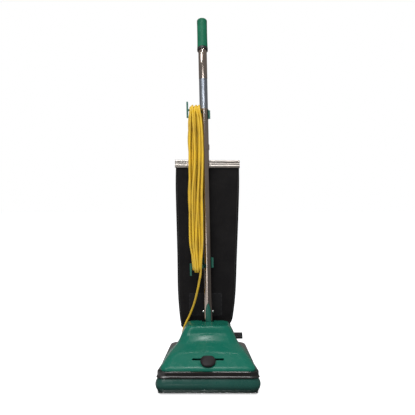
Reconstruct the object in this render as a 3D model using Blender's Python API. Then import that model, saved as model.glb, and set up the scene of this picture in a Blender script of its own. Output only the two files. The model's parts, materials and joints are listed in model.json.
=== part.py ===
"""An upright commercial vacuum cleaner with a shake-out cloth bag, in metres, +Z up and front towards -Y.

The floor nozzle carries the motor, the fan and the brush roll. The handle post swings back on a pin behind
the motor and carries the tubes, the cord hooks and the bag. Every piece is one closed solid.
"""

import math

import bmesh
import bpy
from mathutils import Matrix, Vector

# ---- driving dimensions ---------------------------------------------------------------------------------
GAP = 0.0003  # between faces that touch
SLIP = 0.0005  # round a piece that slides or turns

NOZZLE_HALF = 0.1649  # half the width of the floor nozzle at its front corners, before they are rounded
NOZZLE_FRONT = -0.1730
NOZZLE_BACK = 0.1520
REAR_SHARE = 0.86  # half width at the back over half width at the front
NOZZLE_FLOOR = 0.0095  # underside of the housing
LEDGE_Z = 0.0480  # where the furniture guard sits
DECK_Z = 0.0690  # top of the lower housing
GUARD_HEIGHT = 0.0220
GUARD_DEPTH = 0.0070
WALL = 0.0026  # motor hood
HOOD_TOP = 0.1870

BRUSH_Y = -0.1300
BRUSH_Z = 0.0310
BRUSH_CORE_RADIUS = 0.0190
BRISTLE_RADIUS = 0.0262
CHAMBER_RADIUS = 0.0290
BRUSH_HALF = 0.1320
CAP_WIDTH = 0.0100
BRUSH_PULLEY_RADIUS = 0.0110
PLATE_THICK = 0.0024

MOTOR_Y = 0.0300
MOTOR_RADIUS = 0.0450
MOTOR_WALL = 0.0025
SHAFT_RADIUS = 0.0040
MOTOR_PULLEY_RADIUS = 0.0070
PULLEY_Z = 0.0155
BELT_RADIUS = 0.0020
FAN_RADIUS = 0.0520
CHAMBER_OUTER = 0.0610  # fan chamber
FAN_FLOOR = 0.0333
FAN_TOP = 0.0660
OUTLET_X = -0.0525
OUTLET_HALF = 0.0145
DUCT_X = -0.0500
DUCT_Y = 0.1300
DUCT_RADIUS = 0.0160
DUCT_TOP = 0.1280
DUCT_WALL = 0.0020

FRONT_WHEEL_RADIUS = 0.0220
FRONT_WHEEL_WIDTH = 0.0150
FRONT_WHEEL_X = 0.0565
FRONT_AXLE_Y = -0.0740
CARRIAGE_TRAVEL = 0.0040
KNOB_TRAVEL = 0.0240
REAR_WHEEL_RADIUS = 0.0380
REAR_WHEEL_WIDTH = 0.0240
REAR_WHEEL_X = 0.1045
REAR_AXLE_Y = 0.1220
AXLE_RADIUS = 0.0040

PIVOT_Y = 0.0950
PIVOT_Z = 0.0850
BARREL_RADIUS = 0.0140
BARREL_HALF = 0.0265
PIN_RADIUS = 0.0040
LUG_THICK = 0.0080
LEAN = math.radians(1.25)  # the tubes lean this far to the left of upright in their post
LEAN_Z = 0.2500

TUBE_RADIUS = 0.0145
TUBE_WALL = 0.0012
TUBE_BOTTOM = 0.1810
FORK_TOP = 0.2485
FORK_HALF = 0.0092
BOLT_Z = 0.2180
COUPLING_BOTTOM = 0.9050
COUPLING_TOP = 1.0066
COUPLING_RADIUS = 0.0141
SPIGOT = 0.0400  # how far a spigot reaches into a tube
BEND_Z = 1.0500
BEND_RADIUS = 0.1100
GRIP_TILT = math.radians(25)
GRIP_LENGTH = 0.1195
GRIP_WALL = 0.0028
COLLAR_LENGTH = 0.0110
COLLAR_WALL = 0.0037

HOOK_REACH = 0.0550  # from the tube's axis to the hook's finger
ARM_FORWARD = 0.0195  # of the tube's front
ARM_THICK = 0.0050
UPPER_ARM_Z = 0.8970
LOWER_ARM_Z = 0.3700
BAND_WALL = 0.0017

BAG_TOP = 0.7200
BAR_BOTTOM = 0.7060
BAR_HEIGHT = 0.0265
BAR_HALF = 0.1110
BAR_DEPTH = 0.0140
BAR_Y = 0.1260
BAG_BOTTOM = 0.1520
HEM_THICK = 0.0060

CORD_RADIUS = 0.0036


# ---- making solids --------------------------------------------------------------------------------------
def clear_scene():
    for old in list(bpy.data.objects):
        bpy.data.objects.remove(old, do_unlink=True)


def finish(name, colour, roughness, metallic):
    """A Principled material with one colour, roughness and metallic value."""
    made = bpy.data.materials.new(name)
    made.use_nodes = True
    shader = made.node_tree.nodes["Principled BSDF"]
    shader.inputs["Base Color"].default_value = (*colour, 1)
    shader.inputs["Roughness"].default_value = roughness
    shader.inputs["Metallic"].default_value = metallic
    return made


def add_object(name, bm, material):
    """The bmesh as an object, with its faces pointing out and its round faces smooth."""
    bmesh.ops.recalc_face_normals(bm, faces=bm.faces)
    mesh = bpy.data.meshes.new(name)
    bm.to_mesh(mesh)
    bm.free()
    mesh.shade_smooth()
    mesh.set_sharp_from_angle(angle=math.radians(35))
    made = bpy.data.objects.new(name, mesh)
    bpy.context.scene.collection.objects.link(made)
    if material is None:
        made.hide_render = True
        made.display_type = "WIRE"
    else:
        mesh.materials.append(material)
    return made


def loft(name, rings, material=None, loop=False):
    """Rings of equally many points, skinned in order. The ends are capped, or joined when loop is set."""
    bm = bmesh.new()
    rows = [[bm.verts.new(point) for point in ring] for ring in rings]
    pairs = list(zip(rows, rows[1:]))
    if loop:
        pairs.append((rows[-1], rows[0]))
    else:
        bm.faces.new(rows[0])
        bm.faces.new(rows[-1])
    for low, high in pairs:
        for i in range(len(low)):
            j = (i + 1) % len(low)
            bm.faces.new((low[i], low[j], high[j], high[i]))
    return add_object(name, bm, material)


def box(name, low, high, material=None, bevel=0.0):
    """A block between two corners, with its edges rounded by bevel."""
    bm = bmesh.new()
    bmesh.ops.create_cube(bm, size=1)
    size = Vector(high) - Vector(low)
    middle = (Vector(high) + Vector(low)) / 2
    bmesh.ops.transform(bm, matrix=Matrix.Translation(middle) @ Matrix.Diagonal((*size, 1)), verts=bm.verts)
    if bevel:
        bmesh.ops.bevel(bm, geom=bm.edges[:], offset=bevel, segments=2, profile=0.5, affect="EDGES")
    return add_object(name, bm, material)


def circle(radius, height, steps, centre=(0, 0), axis="Z"):
    """A ring of points at a height along the axis; centre gives the two other coordinates in order."""
    points = []
    for i in range(steps):
        angle = 2 * math.pi * i / steps
        across = (centre[0] + radius * math.cos(angle), centre[1] + radius * math.sin(angle))
        if axis == "X":
            points.append((height, across[0], across[1]))
        elif axis == "Y":
            points.append((across[0], height, across[1]))
        else:
            points.append((across[0], across[1], height))
    return points


def turned(name, profile, centre, material=None, axis="Z", steps=24, loop=False):
    """A turned piece: the profile is (radius, height) pairs, closed on itself when loop is set."""
    rings = [circle(radius, height, steps, centre, axis) for radius, height in profile]
    return loft(name, rings, material, loop)


def ring_profile(inner, outer, low, high):
    """The square section of a washer, bush or tube."""
    return [(inner, low), (outer, low), (outer, high), (inner, high)]


def rounded(corners, radius, steps=4):
    """A convex outline with each corner replaced by an arc of this radius."""
    points = []
    count = len(corners)
    for i, corner in enumerate(corners):
        here = Vector(corner)
        back = (Vector(corners[i - 1]) - here).normalized()
        ahead = (Vector(corners[(i + 1) % count]) - here).normalized()
        half = back.angle(ahead) / 2
        start = here + back * radius / math.tan(half)
        middle = here + (back + ahead).normalized() * radius / math.sin(half)
        sweep = math.pi - 2 * half
        turn = 1 if back.cross(ahead) < 0 else -1
        for k in range(steps + 1):
            points.append(middle + Matrix.Rotation(turn * sweep * k / steps, 2) @ (start - middle))
    return points


def plan_ring(front, back, front_half, back_half, corner, front_z, back_z, middle_x=0.0):
    """A rounded trapezoid seen from above, whose height runs evenly from front_z to back_z."""
    corners = [
        (middle_x - front_half, front),
        (middle_x + front_half, front),
        (middle_x + back_half, back),
        (middle_x - back_half, back),
    ]
    points = []
    for x, y in rounded(corners, corner):
        share = (y - front) / (back - front)
        points.append((x, y, front_z + (back_z - front_z) * share))
    return points


def prism(name, outline, low, high, axis, material=None):
    """An outline pushed along an axis from low to high. Its points are the two other coordinates."""
    rings = []
    for height in (low, high):
        if axis == "X":
            rings.append([(height, a, b) for a, b in outline])
        elif axis == "Y":
            rings.append([(a, height, b) for a, b in outline])
        else:
            rings.append([(a, b, height) for a, b in outline])
    return loft(name, rings, material)


def wire(name, points, radius, material, cyclic=False, sides=2):
    """A round wire, belt or cord along points."""
    curve = bpy.data.curves.new(name, "CURVE")
    curve.dimensions = "3D"
    curve.bevel_depth = radius
    curve.bevel_resolution = sides
    curve.use_fill_caps = not cyclic
    spline = curve.splines.new("POLY")
    spline.points.add(len(points) - 1)
    for target, point in zip(spline.points, points):
        target.co = (*point, 1)
    spline.use_cyclic_u = cyclic
    made = bpy.data.objects.new(name, curve)
    curve.materials.append(material)
    bpy.context.scene.collection.objects.link(made)
    return made


def boolean(piece, tools, operation):
    """Each tool joined to or cut from the piece; the tools stay as hidden guides."""
    for tool in tools:
        step = piece.modifiers.new(tool.name, "BOOLEAN")
        step.operation = operation
        step.solver = "EXACT"
        step.object = tool
        tool.hide_render = True
        tool.display_type = "WIRE"
    return piece


def cut(piece, *tools):
    return boolean(piece, tools, "DIFFERENCE")


def join(piece, *tools):
    return boolean(piece, tools, "UNION")


def hang_on(frame, *pieces):
    """Parents pieces made in upright coordinates to the leaning handle frame."""
    for piece in pieces:
        piece.parent = frame
        piece.matrix_parent_inverse = Matrix.Translation(-frame.location)


def smooth_route(points, step):
    """Points a step apart on a Catmull-Rom curve through the given points."""
    ends = [points[0] * 2 - points[1], *points, points[-1] * 2 - points[-2]]
    fine = []
    for i in range(1, len(ends) - 2):
        a, b, c, d = ends[i - 1 : i + 3]
        for k in range(40):
            t = k / 40
            fine.append(
                0.5 * (2 * b + (c - a) * t + (2 * a - 5 * b + 4 * c - d) * t**2
                       + (3 * b - a - 3 * c + d) * t**3)
            )
    fine.append(points[-1])
    length = sum((b - a).length for a, b in zip(fine, fine[1:]))
    count = max(2, round(length / step))
    spaced, travelled, wanted = [fine[0]], 0.0, length / count
    for a, b in zip(fine, fine[1:]):
        travelled += (b - a).length
        if travelled >= wanted * len(spaced) and len(spaced) < count:
            spaced.append(b)
    return [*spaced, fine[-1]]


clear_scene()
GREEN = finish("green_hood_plastic", (0.010, 0.140, 0.090), 0.28, 0.0)
DARK_GREEN = finish("green_housing", (0.018, 0.070, 0.050), 0.40, 0.0)
GRIP_GREEN = finish("green_grip_rubber", (0.010, 0.120, 0.060), 0.45, 0.0)
BLACK = finish("black_plastic", (0.018, 0.017, 0.017), 0.45, 0.0)
VINYL = finish("black_vinyl", (0.020, 0.018, 0.018), 0.35, 0.0)
RUBBER = finish("black_rubber", (0.022, 0.022, 0.022), 0.75, 0.0)
CHROME = finish("chromed_steel", (0.60, 0.57, 0.53), 0.12, 1.0)
ZINC = finish("zinc_steel", (0.55, 0.57, 0.60), 0.35, 1.0)
STEEL = finish("bright_steel", (0.55, 0.55, 0.55), 0.30, 1.0)
COPPER = finish("wound_copper", (0.60, 0.25, 0.12), 0.45, 1.0)
CARBON = finish("carbon_block", (0.030, 0.030, 0.030), 0.60, 0.0)
WOOD = finish("beech_wood", (0.45, 0.28, 0.14), 0.55, 0.0)
BRISTLE = finish("black_bristle", (0.020, 0.020, 0.020), 0.80, 0.0)
CLOTH = finish("black_bag_cloth", (0.020, 0.020, 0.022), 0.90, 0.0)
CORD = finish("yellow_cord_jacket", (0.680, 0.420, 0.025), 0.50, 0.0)

# ---- lower housing --------------------------------------------------------------------------------------
BACK_HALF = NOZZLE_HALF * REAR_SHARE
WALL_INSET = GUARD_DEPTH - 0.0015  # the wall above the ledge stands this far inside the nozzle's face
CHAMBER_HALF = BRUSH_HALF + CAP_WIDTH + 2 * GAP
PAN_RADIUS = CHAMBER_OUTER + GAP
OUTLET_LEFT = OUTLET_X - OUTLET_HALF - DUCT_WALL
OUTLET_RIGHT = OUTLET_X + OUTLET_HALF + DUCT_WALL
LUG_INSIDE = BARREL_HALF + SLIP
PEDAL_Y = 0.1000
PEDAL_Z = 0.0880
PEDAL_LUGS = (0.0460, 0.0740)
PEDAL_LUG_THICK = 0.0060


def housing_ring(inset, corner, z):
    return plan_ring(
        NOZZLE_FRONT + inset, NOZZLE_BACK - inset, NOZZLE_HALF - inset, BACK_HALF - inset, corner, z, z
    )


def lug(name, x, y, top, width, thick, hole):
    """An upright ear on the deck with a round hole across it."""
    half = width / 2
    outline = [(y - half, DECK_Z - 0.005), (y + half, DECK_Z - 0.005)]
    centre_z = top - half
    for i in range(9):
        angle = math.pi * i / 8
        outline.append((y + half * math.cos(angle), centre_z + half * math.sin(angle)))
    return cut(
        prism(name, outline, x, x + thick, "X"),
        turned(f"{name}_hole", [(hole, x - 0.001), (hole, x + thick + 0.001)], (y, centre_z), axis="X"),
    )


base_housing = loft(
    "base_housing",
    [
        housing_ring(0.0060, 0.030, NOZZLE_FLOOR),
        housing_ring(0.0010, 0.032, NOZZLE_FLOOR + 0.0060),
        housing_ring(0.0000, 0.032, NOZZLE_FLOOR + 0.0160),
        housing_ring(0.0010, 0.032, LEDGE_Z - 0.0030),
        housing_ring(0.0030, 0.031, LEDGE_Z),
        housing_ring(WALL_INSET + GUARD_DEPTH, 0.026, LEDGE_Z),
        housing_ring(WALL_INSET + GUARD_DEPTH, 0.026, DECK_Z),
    ],
    DARK_GREEN,
)
handle_lugs = [
    lug(f"handle_lug_{side}", x, PIVOT_Y, PIVOT_Z + 0.013, 0.026, LUG_THICK, PIN_RADIUS + GAP)
    for side, x in (("left", -LUG_INSIDE - LUG_THICK), ("right", LUG_INSIDE))
]
pedal_lugs = [
    lug(f"pedal_lug_{i}", x, PEDAL_Y, PEDAL_Z + 0.008, 0.016, PEDAL_LUG_THICK, AXLE_RADIUS + GAP)
    for i, x in enumerate(PEDAL_LUGS)
]
join(base_housing, *handle_lugs, *pedal_lugs)

BAR_FLOOR = 0.0472  # floor of the groove that the wheel carriage moves in
WELL_TOP = FRONT_WHEEL_RADIUS * 2 + CARRIAGE_TRAVEL + 0.0025
WELL_INNER = FRONT_WHEEL_X - FRONT_WHEEL_WIDTH / 2 - 0.0080
WELL_OUTER = FRONT_WHEEL_X + FRONT_WHEEL_WIDTH / 2 + 0.0050
REAR_WELL_INNER = REAR_WHEEL_X - REAR_WHEEL_WIDTH / 2 - 0.0030
REAR_WELL_OUTER = REAR_WHEEL_X + REAR_WHEEL_WIDTH / 2 + 0.0020
AXLE_END = REAR_WELL_OUTER + 0.0035
BELOW = -0.0100
ABOVE = 0.1400
cuts = [
    turned("brush_roof", [(CHAMBER_RADIUS, -CHAMBER_HALF), (CHAMBER_RADIUS, CHAMBER_HALF)],
           (BRUSH_Y, BRUSH_Z), axis="X", steps=24),
    box("brush_pit", (-CHAMBER_HALF, BRUSH_Y - CHAMBER_RADIUS + 0.0001, BELOW),
        (CHAMBER_HALF, BRUSH_Y + CHAMBER_RADIUS - 0.0001, BRUSH_Z)),
    turned("fan_pan", [(PAN_RADIUS, FAN_FLOOR - GAP), (PAN_RADIUS, DECK_Z + SLIP)],
           (0, MOTOR_Y), steps=32),
    box("outlet_pan", (OUTLET_LEFT - GAP, MOTOR_Y, FAN_FLOOR - GAP),
        (DUCT_X + DUCT_RADIUS + 2 * GAP, NOZZLE_BACK - 0.0030, DECK_Z + SLIP)),
    box("intake_channel", (-0.0270, BRUSH_Y, BELOW), (0.0270, MOTOR_Y + 0.0240, FAN_FLOOR - GAP - 0.0025)),
    box("belt_tunnel", (-0.0140, BRUSH_Y, BELOW), (0.0140, MOTOR_Y - PAN_RADIUS - 0.0030,
                                                   BAR_FLOOR - 0.0027)),
    turned("intake_eye", [(0.0200, BELOW), (0.0200, FAN_FLOOR)], (0, MOTOR_Y)),
    box("carriage_groove", (-WELL_OUTER, FRONT_AXLE_Y - 0.0055, BAR_FLOOR),
        (WELL_OUTER, FRONT_AXLE_Y + 0.0055, ABOVE)),
]
for side in (-1, 1):
    near, far = sorted((side * WELL_INNER, side * WELL_OUTER))
    cuts.append(
        box(f"front_well_{far:.3f}", (near, FRONT_AXLE_Y - FRONT_WHEEL_RADIUS - 0.0018, BELOW),
            (far, FRONT_AXLE_Y + FRONT_WHEEL_RADIUS + 0.0018, WELL_TOP))
    )
    near, far = sorted((side * REAR_WELL_INNER, side * REAR_WELL_OUTER))
    cuts.append(
        box(f"rear_well_{far:.3f}", (near, REAR_AXLE_Y - REAR_WHEEL_RADIUS - 0.0030, BELOW),
            (far, NOZZLE_BACK + 0.0100, ABOVE))
    )
    near, far = sorted((side * (REAR_WELL_INNER - 0.0100), side * AXLE_END))
    cuts.append(
        turned(f"axle_hole_{far:.3f}", [(AXLE_RADIUS + GAP, near), (AXLE_RADIUS + GAP, far)],
               (REAR_AXLE_Y, REAR_WHEEL_RADIUS), axis="X")
    )
LATCH_X = 0.1000
LATCH_Y = BRUSH_Y + CHAMBER_RADIUS + 0.0060
LATCH_PIN = 0.0030
for side in (-1, 1):
    cuts.append(
        turned(f"latch_hole_{side}", [(LATCH_PIN + GAP, BELOW), (LATCH_PIN + GAP, NOZZLE_FLOOR + 0.0100)],
               (side * LATCH_X, LATCH_Y))
    )
cut(base_housing, *cuts)

# ---- bottom plate and its latches -----------------------------------------------------------------------
PLATE_TOP = NOZZLE_FLOOR - GAP
PLATE_BOTTOM = PLATE_TOP - PLATE_THICK
PLATE_BACK = BRUSH_Y + CHAMBER_RADIUS + 0.0020
TONGUE_HALF = 0.0320
bottom_plate = loft(
    "bottom_plate",
    [
        plan_ring(NOZZLE_FRONT + inset, PLATE_BACK, NOZZLE_HALF - 0.0060 - inset,
                  NOZZLE_HALF - 0.0150 - inset,
                  0.0080, z, z)
        for inset, z in ((0.0060, PLATE_BOTTOM), (0.0045, PLATE_TOP))
    ],
    CHROME,
)
join(bottom_plate, box("plate_tongue", (-TONGUE_HALF, PLATE_BACK - 0.0100, PLATE_BOTTOM),
                       (TONGUE_HALF, MOTOR_Y + 0.0280, PLATE_TOP)))
cut(bottom_plate, box("suction_opening", (-BRUSH_HALF - 0.0080, BRUSH_Y - BRISTLE_RADIUS - 0.0005, BELOW),
                      (BRUSH_HALF + 0.0080, BRUSH_Y + BRISTLE_RADIUS - 0.0015, DECK_Z)))
for side, name in ((-1, "plate_latch_left"), (1, "plate_latch_right")):
    latch = box(name, (side * LATCH_X - 0.0050, LATCH_Y - 0.0160, PLATE_BOTTOM - GAP - 0.0016),
                (side * LATCH_X + 0.0050, LATCH_Y + 0.0060, PLATE_BOTTOM - GAP), ZINC)
    join(latch, turned(f"{name}_pin", [(LATCH_PIN, PLATE_BOTTOM - 0.0010),
                                       (LATCH_PIN, NOZZLE_FLOOR + 0.0080)],
                       (side * LATCH_X, LATCH_Y)))

# ---- brush roll -----------------------------------------------------------------------------------------
CORE_INNER = SHAFT_RADIUS + GAP
STRIP_ROOT = 0.0130
STRIP_HALF_ANGLE = math.radians(11)
TWIST = math.radians(150)  # of a bristle strip over half the roll
GROOVE_HALF = 0.0100  # of the belt groove in the middle of the core
STRIP_STATIONS = 14


core_profile = [
    (CORE_INNER, -BRUSH_HALF),
    (BRUSH_CORE_RADIUS, -BRUSH_HALF),
    (BRUSH_CORE_RADIUS, -GROOVE_HALF),
    (BRUSH_PULLEY_RADIUS - GAP, -BELT_RADIUS - 0.0020),
    (BRUSH_PULLEY_RADIUS - GAP, BELT_RADIUS + 0.0020),
    (BRUSH_CORE_RADIUS, GROOVE_HALF),
    (BRUSH_CORE_RADIUS, BRUSH_HALF),
    (CORE_INNER, BRUSH_HALF),
]
brush_core = turned("brush_core", core_profile, (BRUSH_Y, BRUSH_Z), WOOD, axis="X", steps=24, loop=True)
STRIP_SIDES = (("a", -1, 0.0), ("b", 1, math.pi))
for letter, side, start in STRIP_SIDES:
    near = GROOVE_HALF + 0.0040
    far = BRUSH_HALF - 0.0030
    rings, slots = [], []
    for i in range(STRIP_STATIONS + 1):
        share = i / STRIP_STATIONS
        for target, low, high, half, end in (
            (rings, STRIP_ROOT + GAP, BRISTLE_RADIUS, STRIP_HALF_ANGLE, 0.0),
            (slots, STRIP_ROOT, BRUSH_CORE_RADIUS + 0.0100, STRIP_HALF_ANGLE * 1.25, 0.0005),
        ):
            x = side * (near - end + (far - near + 2 * end) * share)
            turn = start + TWIST * share
            ring = []
            for radius, way in ((low, -1), (high, -1), (high, 1), (low, 1)):
                angle = turn + way * half * low / radius
                ring.append((x, BRUSH_Y + radius * math.cos(angle), BRUSH_Z + radius * math.sin(angle)))
            target.append(ring)
    loft(f"bristle_strip_{letter}", rings, BRISTLE)
    cut(brush_core, loft(f"bristle_slot_{letter}", slots))
SHAFT_HALF = BRUSH_HALF + CAP_WIDTH - 0.0010
turned("brush_shaft", [(SHAFT_RADIUS, -SHAFT_HALF), (SHAFT_RADIUS, SHAFT_HALF)], (BRUSH_Y, BRUSH_Z), STEEL,
       axis="X", steps=16)
for side, name in ((-1, "brush_end_cap_left"), (1, "brush_end_cap_right")):
    low, high = sorted((side * (BRUSH_HALF + SLIP), side * (BRUSH_HALF + CAP_WIDTH + GAP)))
    cap = turned(name, [(CHAMBER_RADIUS - 0.0020, low), (CHAMBER_RADIUS - 0.0020, high)],
                 (BRUSH_Y, BRUSH_Z), BLACK, axis="X", steps=24)
    cut(cap, turned(f"{name}_bore", [(SHAFT_RADIUS + GAP, low - 0.001), (SHAFT_RADIUS + GAP, high + 0.001)],
                    (BRUSH_Y, BRUSH_Z), axis="X", steps=16),
        box(f"{name}_flat", (low - 0.001, BRUSH_Y - 0.05, BELOW),
            (high + 0.001, BRUSH_Y + 0.05, NOZZLE_FLOOR)))

# ---- furniture guard ------------------------------------------------------------------------------------
GUARD_INSET = WALL_INSET + GUARD_DEPTH - GAP
GUARD_BACK = 0.1100
GUARD_FLOOR = LEDGE_Z + GAP
guard_rings = []
for inset, z in (
    (GUARD_INSET, GUARD_FLOOR),
    (GUARD_INSET - GUARD_DEPTH + 0.0020, GUARD_FLOOR),
    (GUARD_INSET - GUARD_DEPTH, GUARD_FLOOR + 0.0050),
    (GUARD_INSET - GUARD_DEPTH, GUARD_FLOOR + GUARD_HEIGHT - 0.0080),
    (GUARD_INSET - GUARD_DEPTH + 0.0025, GUARD_FLOOR + GUARD_HEIGHT - 0.0020),
    (GUARD_INSET, GUARD_FLOOR + GUARD_HEIGHT - 0.0010),
):
    guard_rings.append(housing_ring(inset, 0.032 - inset * 0.5, z))
furniture_guard = loft("furniture_guard", guard_rings, VINYL, loop=True)
cut(furniture_guard, box("guard_end", (-0.2, GUARD_BACK, 0), (0.2, 0.2, 0.1)))

# ---- drive belt and motor -------------------------------------------------------------------------------
BELT_STEPS = 8
motor_wrap = MOTOR_PULLEY_RADIUS + BELT_RADIUS + GAP
brush_wrap = BRUSH_PULLEY_RADIUS + BELT_RADIUS + GAP
belt_points = []
for i in range(BELT_STEPS + 1):
    angle = math.pi * i / BELT_STEPS
    belt_points.append((motor_wrap * math.cos(angle), MOTOR_Y + motor_wrap * math.sin(angle), PULLEY_Z))
for i in range(BELT_STEPS + 1):
    angle = math.pi / 2 + math.pi * i / BELT_STEPS
    belt_points.append((0, BRUSH_Y + brush_wrap * math.cos(angle), BRUSH_Z + brush_wrap * math.sin(angle)))
wire("drive_belt", belt_points, BELT_RADIUS, RUBBER, cyclic=True, sides=1)

PULLEY_HALF = 0.0045
CASE_BOTTOM = FAN_TOP + GAP
CASE_SPLIT = 0.1245
BEARING_RADIUS = 0.0112
BEARING_HEIGHT = 0.0090
LOWER_BEARING_Z = CASE_BOTTOM + 0.0007
UPPER_BEARING_Z = 0.1465
CASE_INNER = MOTOR_RADIUS - MOTOR_WALL
MOTOR_AXIS = (0, MOTOR_Y)
turned("motor_shaft", [
    (MOTOR_PULLEY_RADIUS + 0.0020, PULLEY_Z - PULLEY_HALF),
    (MOTOR_PULLEY_RADIUS, PULLEY_Z - 0.0022),
    (MOTOR_PULLEY_RADIUS, PULLEY_Z + 0.0022),
    (MOTOR_PULLEY_RADIUS + 0.0020, PULLEY_Z + PULLEY_HALF),
    (SHAFT_RADIUS, PULLEY_Z + PULLEY_HALF),
    (SHAFT_RADIUS, UPPER_BEARING_Z + BEARING_HEIGHT + 0.0010),
], MOTOR_AXIS, STEEL, steps=16)
pocket = BEARING_RADIUS + GAP
turned("motor_casing", [
    (pocket, CASE_BOTTOM),
    (MOTOR_RADIUS, CASE_BOTTOM),
    (MOTOR_RADIUS, CASE_SPLIT),
    (CASE_INNER, CASE_SPLIT),
    (CASE_INNER, CASE_BOTTOM + MOTOR_WALL),
    (pocket + 0.0020, CASE_BOTTOM + MOTOR_WALL),
    (pocket + 0.0020, LOWER_BEARING_Z + BEARING_HEIGHT),
    (pocket, LOWER_BEARING_Z + BEARING_HEIGHT),
], MOTOR_AXIS, BLACK, steps=32, loop=True)
turned("motor_end_cap", [
    (CASE_INNER, CASE_SPLIT + GAP),
    (MOTOR_RADIUS, CASE_SPLIT + GAP),
    (MOTOR_RADIUS, CASE_SPLIT + 0.0140),
    (MOTOR_RADIUS - 0.0040, CASE_SPLIT + 0.0205),
    (pocket + 0.0030, UPPER_BEARING_Z + 0.0010),
    (pocket + 0.0030, UPPER_BEARING_Z + BEARING_HEIGHT + 0.0030),
    (SHAFT_RADIUS + 0.0020, UPPER_BEARING_Z + BEARING_HEIGHT + 0.0030),
    (SHAFT_RADIUS + 0.0020, UPPER_BEARING_Z + BEARING_HEIGHT + GAP),
    (pocket, UPPER_BEARING_Z + BEARING_HEIGHT + GAP),
    (pocket, UPPER_BEARING_Z - 0.0015),
    (CASE_INNER - 0.0040, CASE_SPLIT + 0.0180),
    (CASE_INNER, CASE_SPLIT + 0.0130),
], MOTOR_AXIS, BLACK, steps=32, loop=True)
for name, z in (("bearing_lower", LOWER_BEARING_Z), ("bearing_upper", UPPER_BEARING_Z)):
    turned(name, ring_profile(SHAFT_RADIUS + GAP, BEARING_RADIUS, z, z + BEARING_HEIGHT), MOTOR_AXIS, STEEL,
           steps=24, loop=True)
ARMATURE_RADIUS = 0.0225
COMMUTATOR_RADIUS = 0.0125
COMMUTATOR_Z = (0.0775, 0.0875)
STACK_Z = (0.0900, 0.1210)
turned("motor_field", ring_profile(ARMATURE_RADIUS + 0.0010, CASE_INNER - GAP, *STACK_Z), MOTOR_AXIS, COPPER,
       steps=32, loop=True)
turned("armature", [
    (SHAFT_RADIUS + GAP, COMMUTATOR_Z[0]),
    (COMMUTATOR_RADIUS, COMMUTATOR_Z[0]),
    (COMMUTATOR_RADIUS, COMMUTATOR_Z[1]),
    (ARMATURE_RADIUS, STACK_Z[0]),
    (ARMATURE_RADIUS, STACK_Z[1]),
    (COMMUTATOR_RADIUS, STACK_Z[1] + 0.0020),
    (SHAFT_RADIUS + GAP, STACK_Z[1] + 0.0020),
], MOTOR_AXIS, COPPER, steps=24, loop=True)
for side, name in ((-1, "carbon_brush_left"), (1, "carbon_brush_right")):
    near, far = sorted((side * (COMMUTATOR_RADIUS + GAP), side * (CASE_INNER - SLIP)))
    box(name, (near, MOTOR_Y - 0.0040, COMMUTATOR_Z[0] + 0.0010),
        (far, MOTOR_Y + 0.0040, COMMUTATOR_Z[1] - 0.0010),
        CARBON)


# ---- fans, fan chamber and exhaust duct -----------------------------------------------------------------
def fan(name, radius, hub, low, high, blades, material):
    """A fan wheel: a back plate and a hub, with blades swept back below the plate."""
    plate = 0.0020
    wheel = turned(name, [
        (SHAFT_RADIUS + GAP, low),
        (hub, low),
        (hub, high - plate),
        (radius, high - plate),
        (radius, high),
        (SHAFT_RADIUS + GAP, high),
    ], MOTOR_AXIS, material, steps=32, loop=True)
    thick = 0.0016
    for i in range(blades):
        angle = 2 * math.pi * i / blades
        outline = []
        for share, side in ((0, -1), (0.5, -1), (1, -1), (1, 1), (0.5, 1), (0, 1)):
            reach = hub - 0.0015 + (radius - 0.0010 - hub + 0.0015) * share
            turn = angle - 0.6 * share**2
            across = Vector((-math.sin(turn), math.cos(turn))) * side * thick / 2
            outline.append(Vector((math.cos(turn), math.sin(turn))) * reach + across + Vector(MOTOR_AXIS))
        join(wheel, prism(f"{name}_blade_{i}", outline, low + 0.0010, high - plate / 2, "Z"))
    return wheel


fan("suction_fan", FAN_RADIUS, 0.0120, 0.0400, 0.0560, 6, BLACK)
fan("cooling_fan", 0.0390, 0.0100, STACK_Z[1] + 0.0045, STACK_Z[1] + 0.0150, 6, BLACK)
OUTLET_END = 0.1060
COVER_THICK = 0.0024
CHAMBER_WALL = 0.0020


def chamber_body(name, low, high, wall, end, material=None):
    """The round fan chamber and its tangential outlet as one block, drawn in by wall."""
    block = turned(name, [(CHAMBER_OUTER - wall, low), (CHAMBER_OUTER - wall, high)], MOTOR_AXIS, material,
                   steps=32)
    outlet = box(f"{name}_outlet", (OUTLET_LEFT + wall, MOTOR_Y + wall, low),
                 (OUTLET_RIGHT - wall, end, high))
    return join(block, outlet)


chamber_low = FAN_FLOOR + COVER_THICK + GAP
cut(
    chamber_body("fan_chamber", chamber_low, FAN_TOP, 0, OUTLET_END, BLACK),
    chamber_body("fan_space", chamber_low - 0.01, FAN_TOP - CHAMBER_WALL, CHAMBER_WALL, OUTLET_END + 0.01),
    turned("fan_shaft_hole", [(0.0060, FAN_TOP - 0.0100), (0.0060, FAN_TOP + 0.0100)], MOTOR_AXIS, steps=16),
)
cut(
    chamber_body("fan_chamber_cover", FAN_FLOOR, FAN_FLOOR + COVER_THICK, 0, OUTLET_END, BLACK),
    turned("fan_eye", [(0.0200, FAN_FLOOR - 0.01), (0.0200, FAN_FLOOR + 0.01)], MOTOR_AXIS),
)
DUCT_START = OUTLET_END + GAP
DUCT_LOW = 0.0340
DUCT_HALF = (FAN_TOP - DUCT_LOW) / 2 + 0.0005


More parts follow.
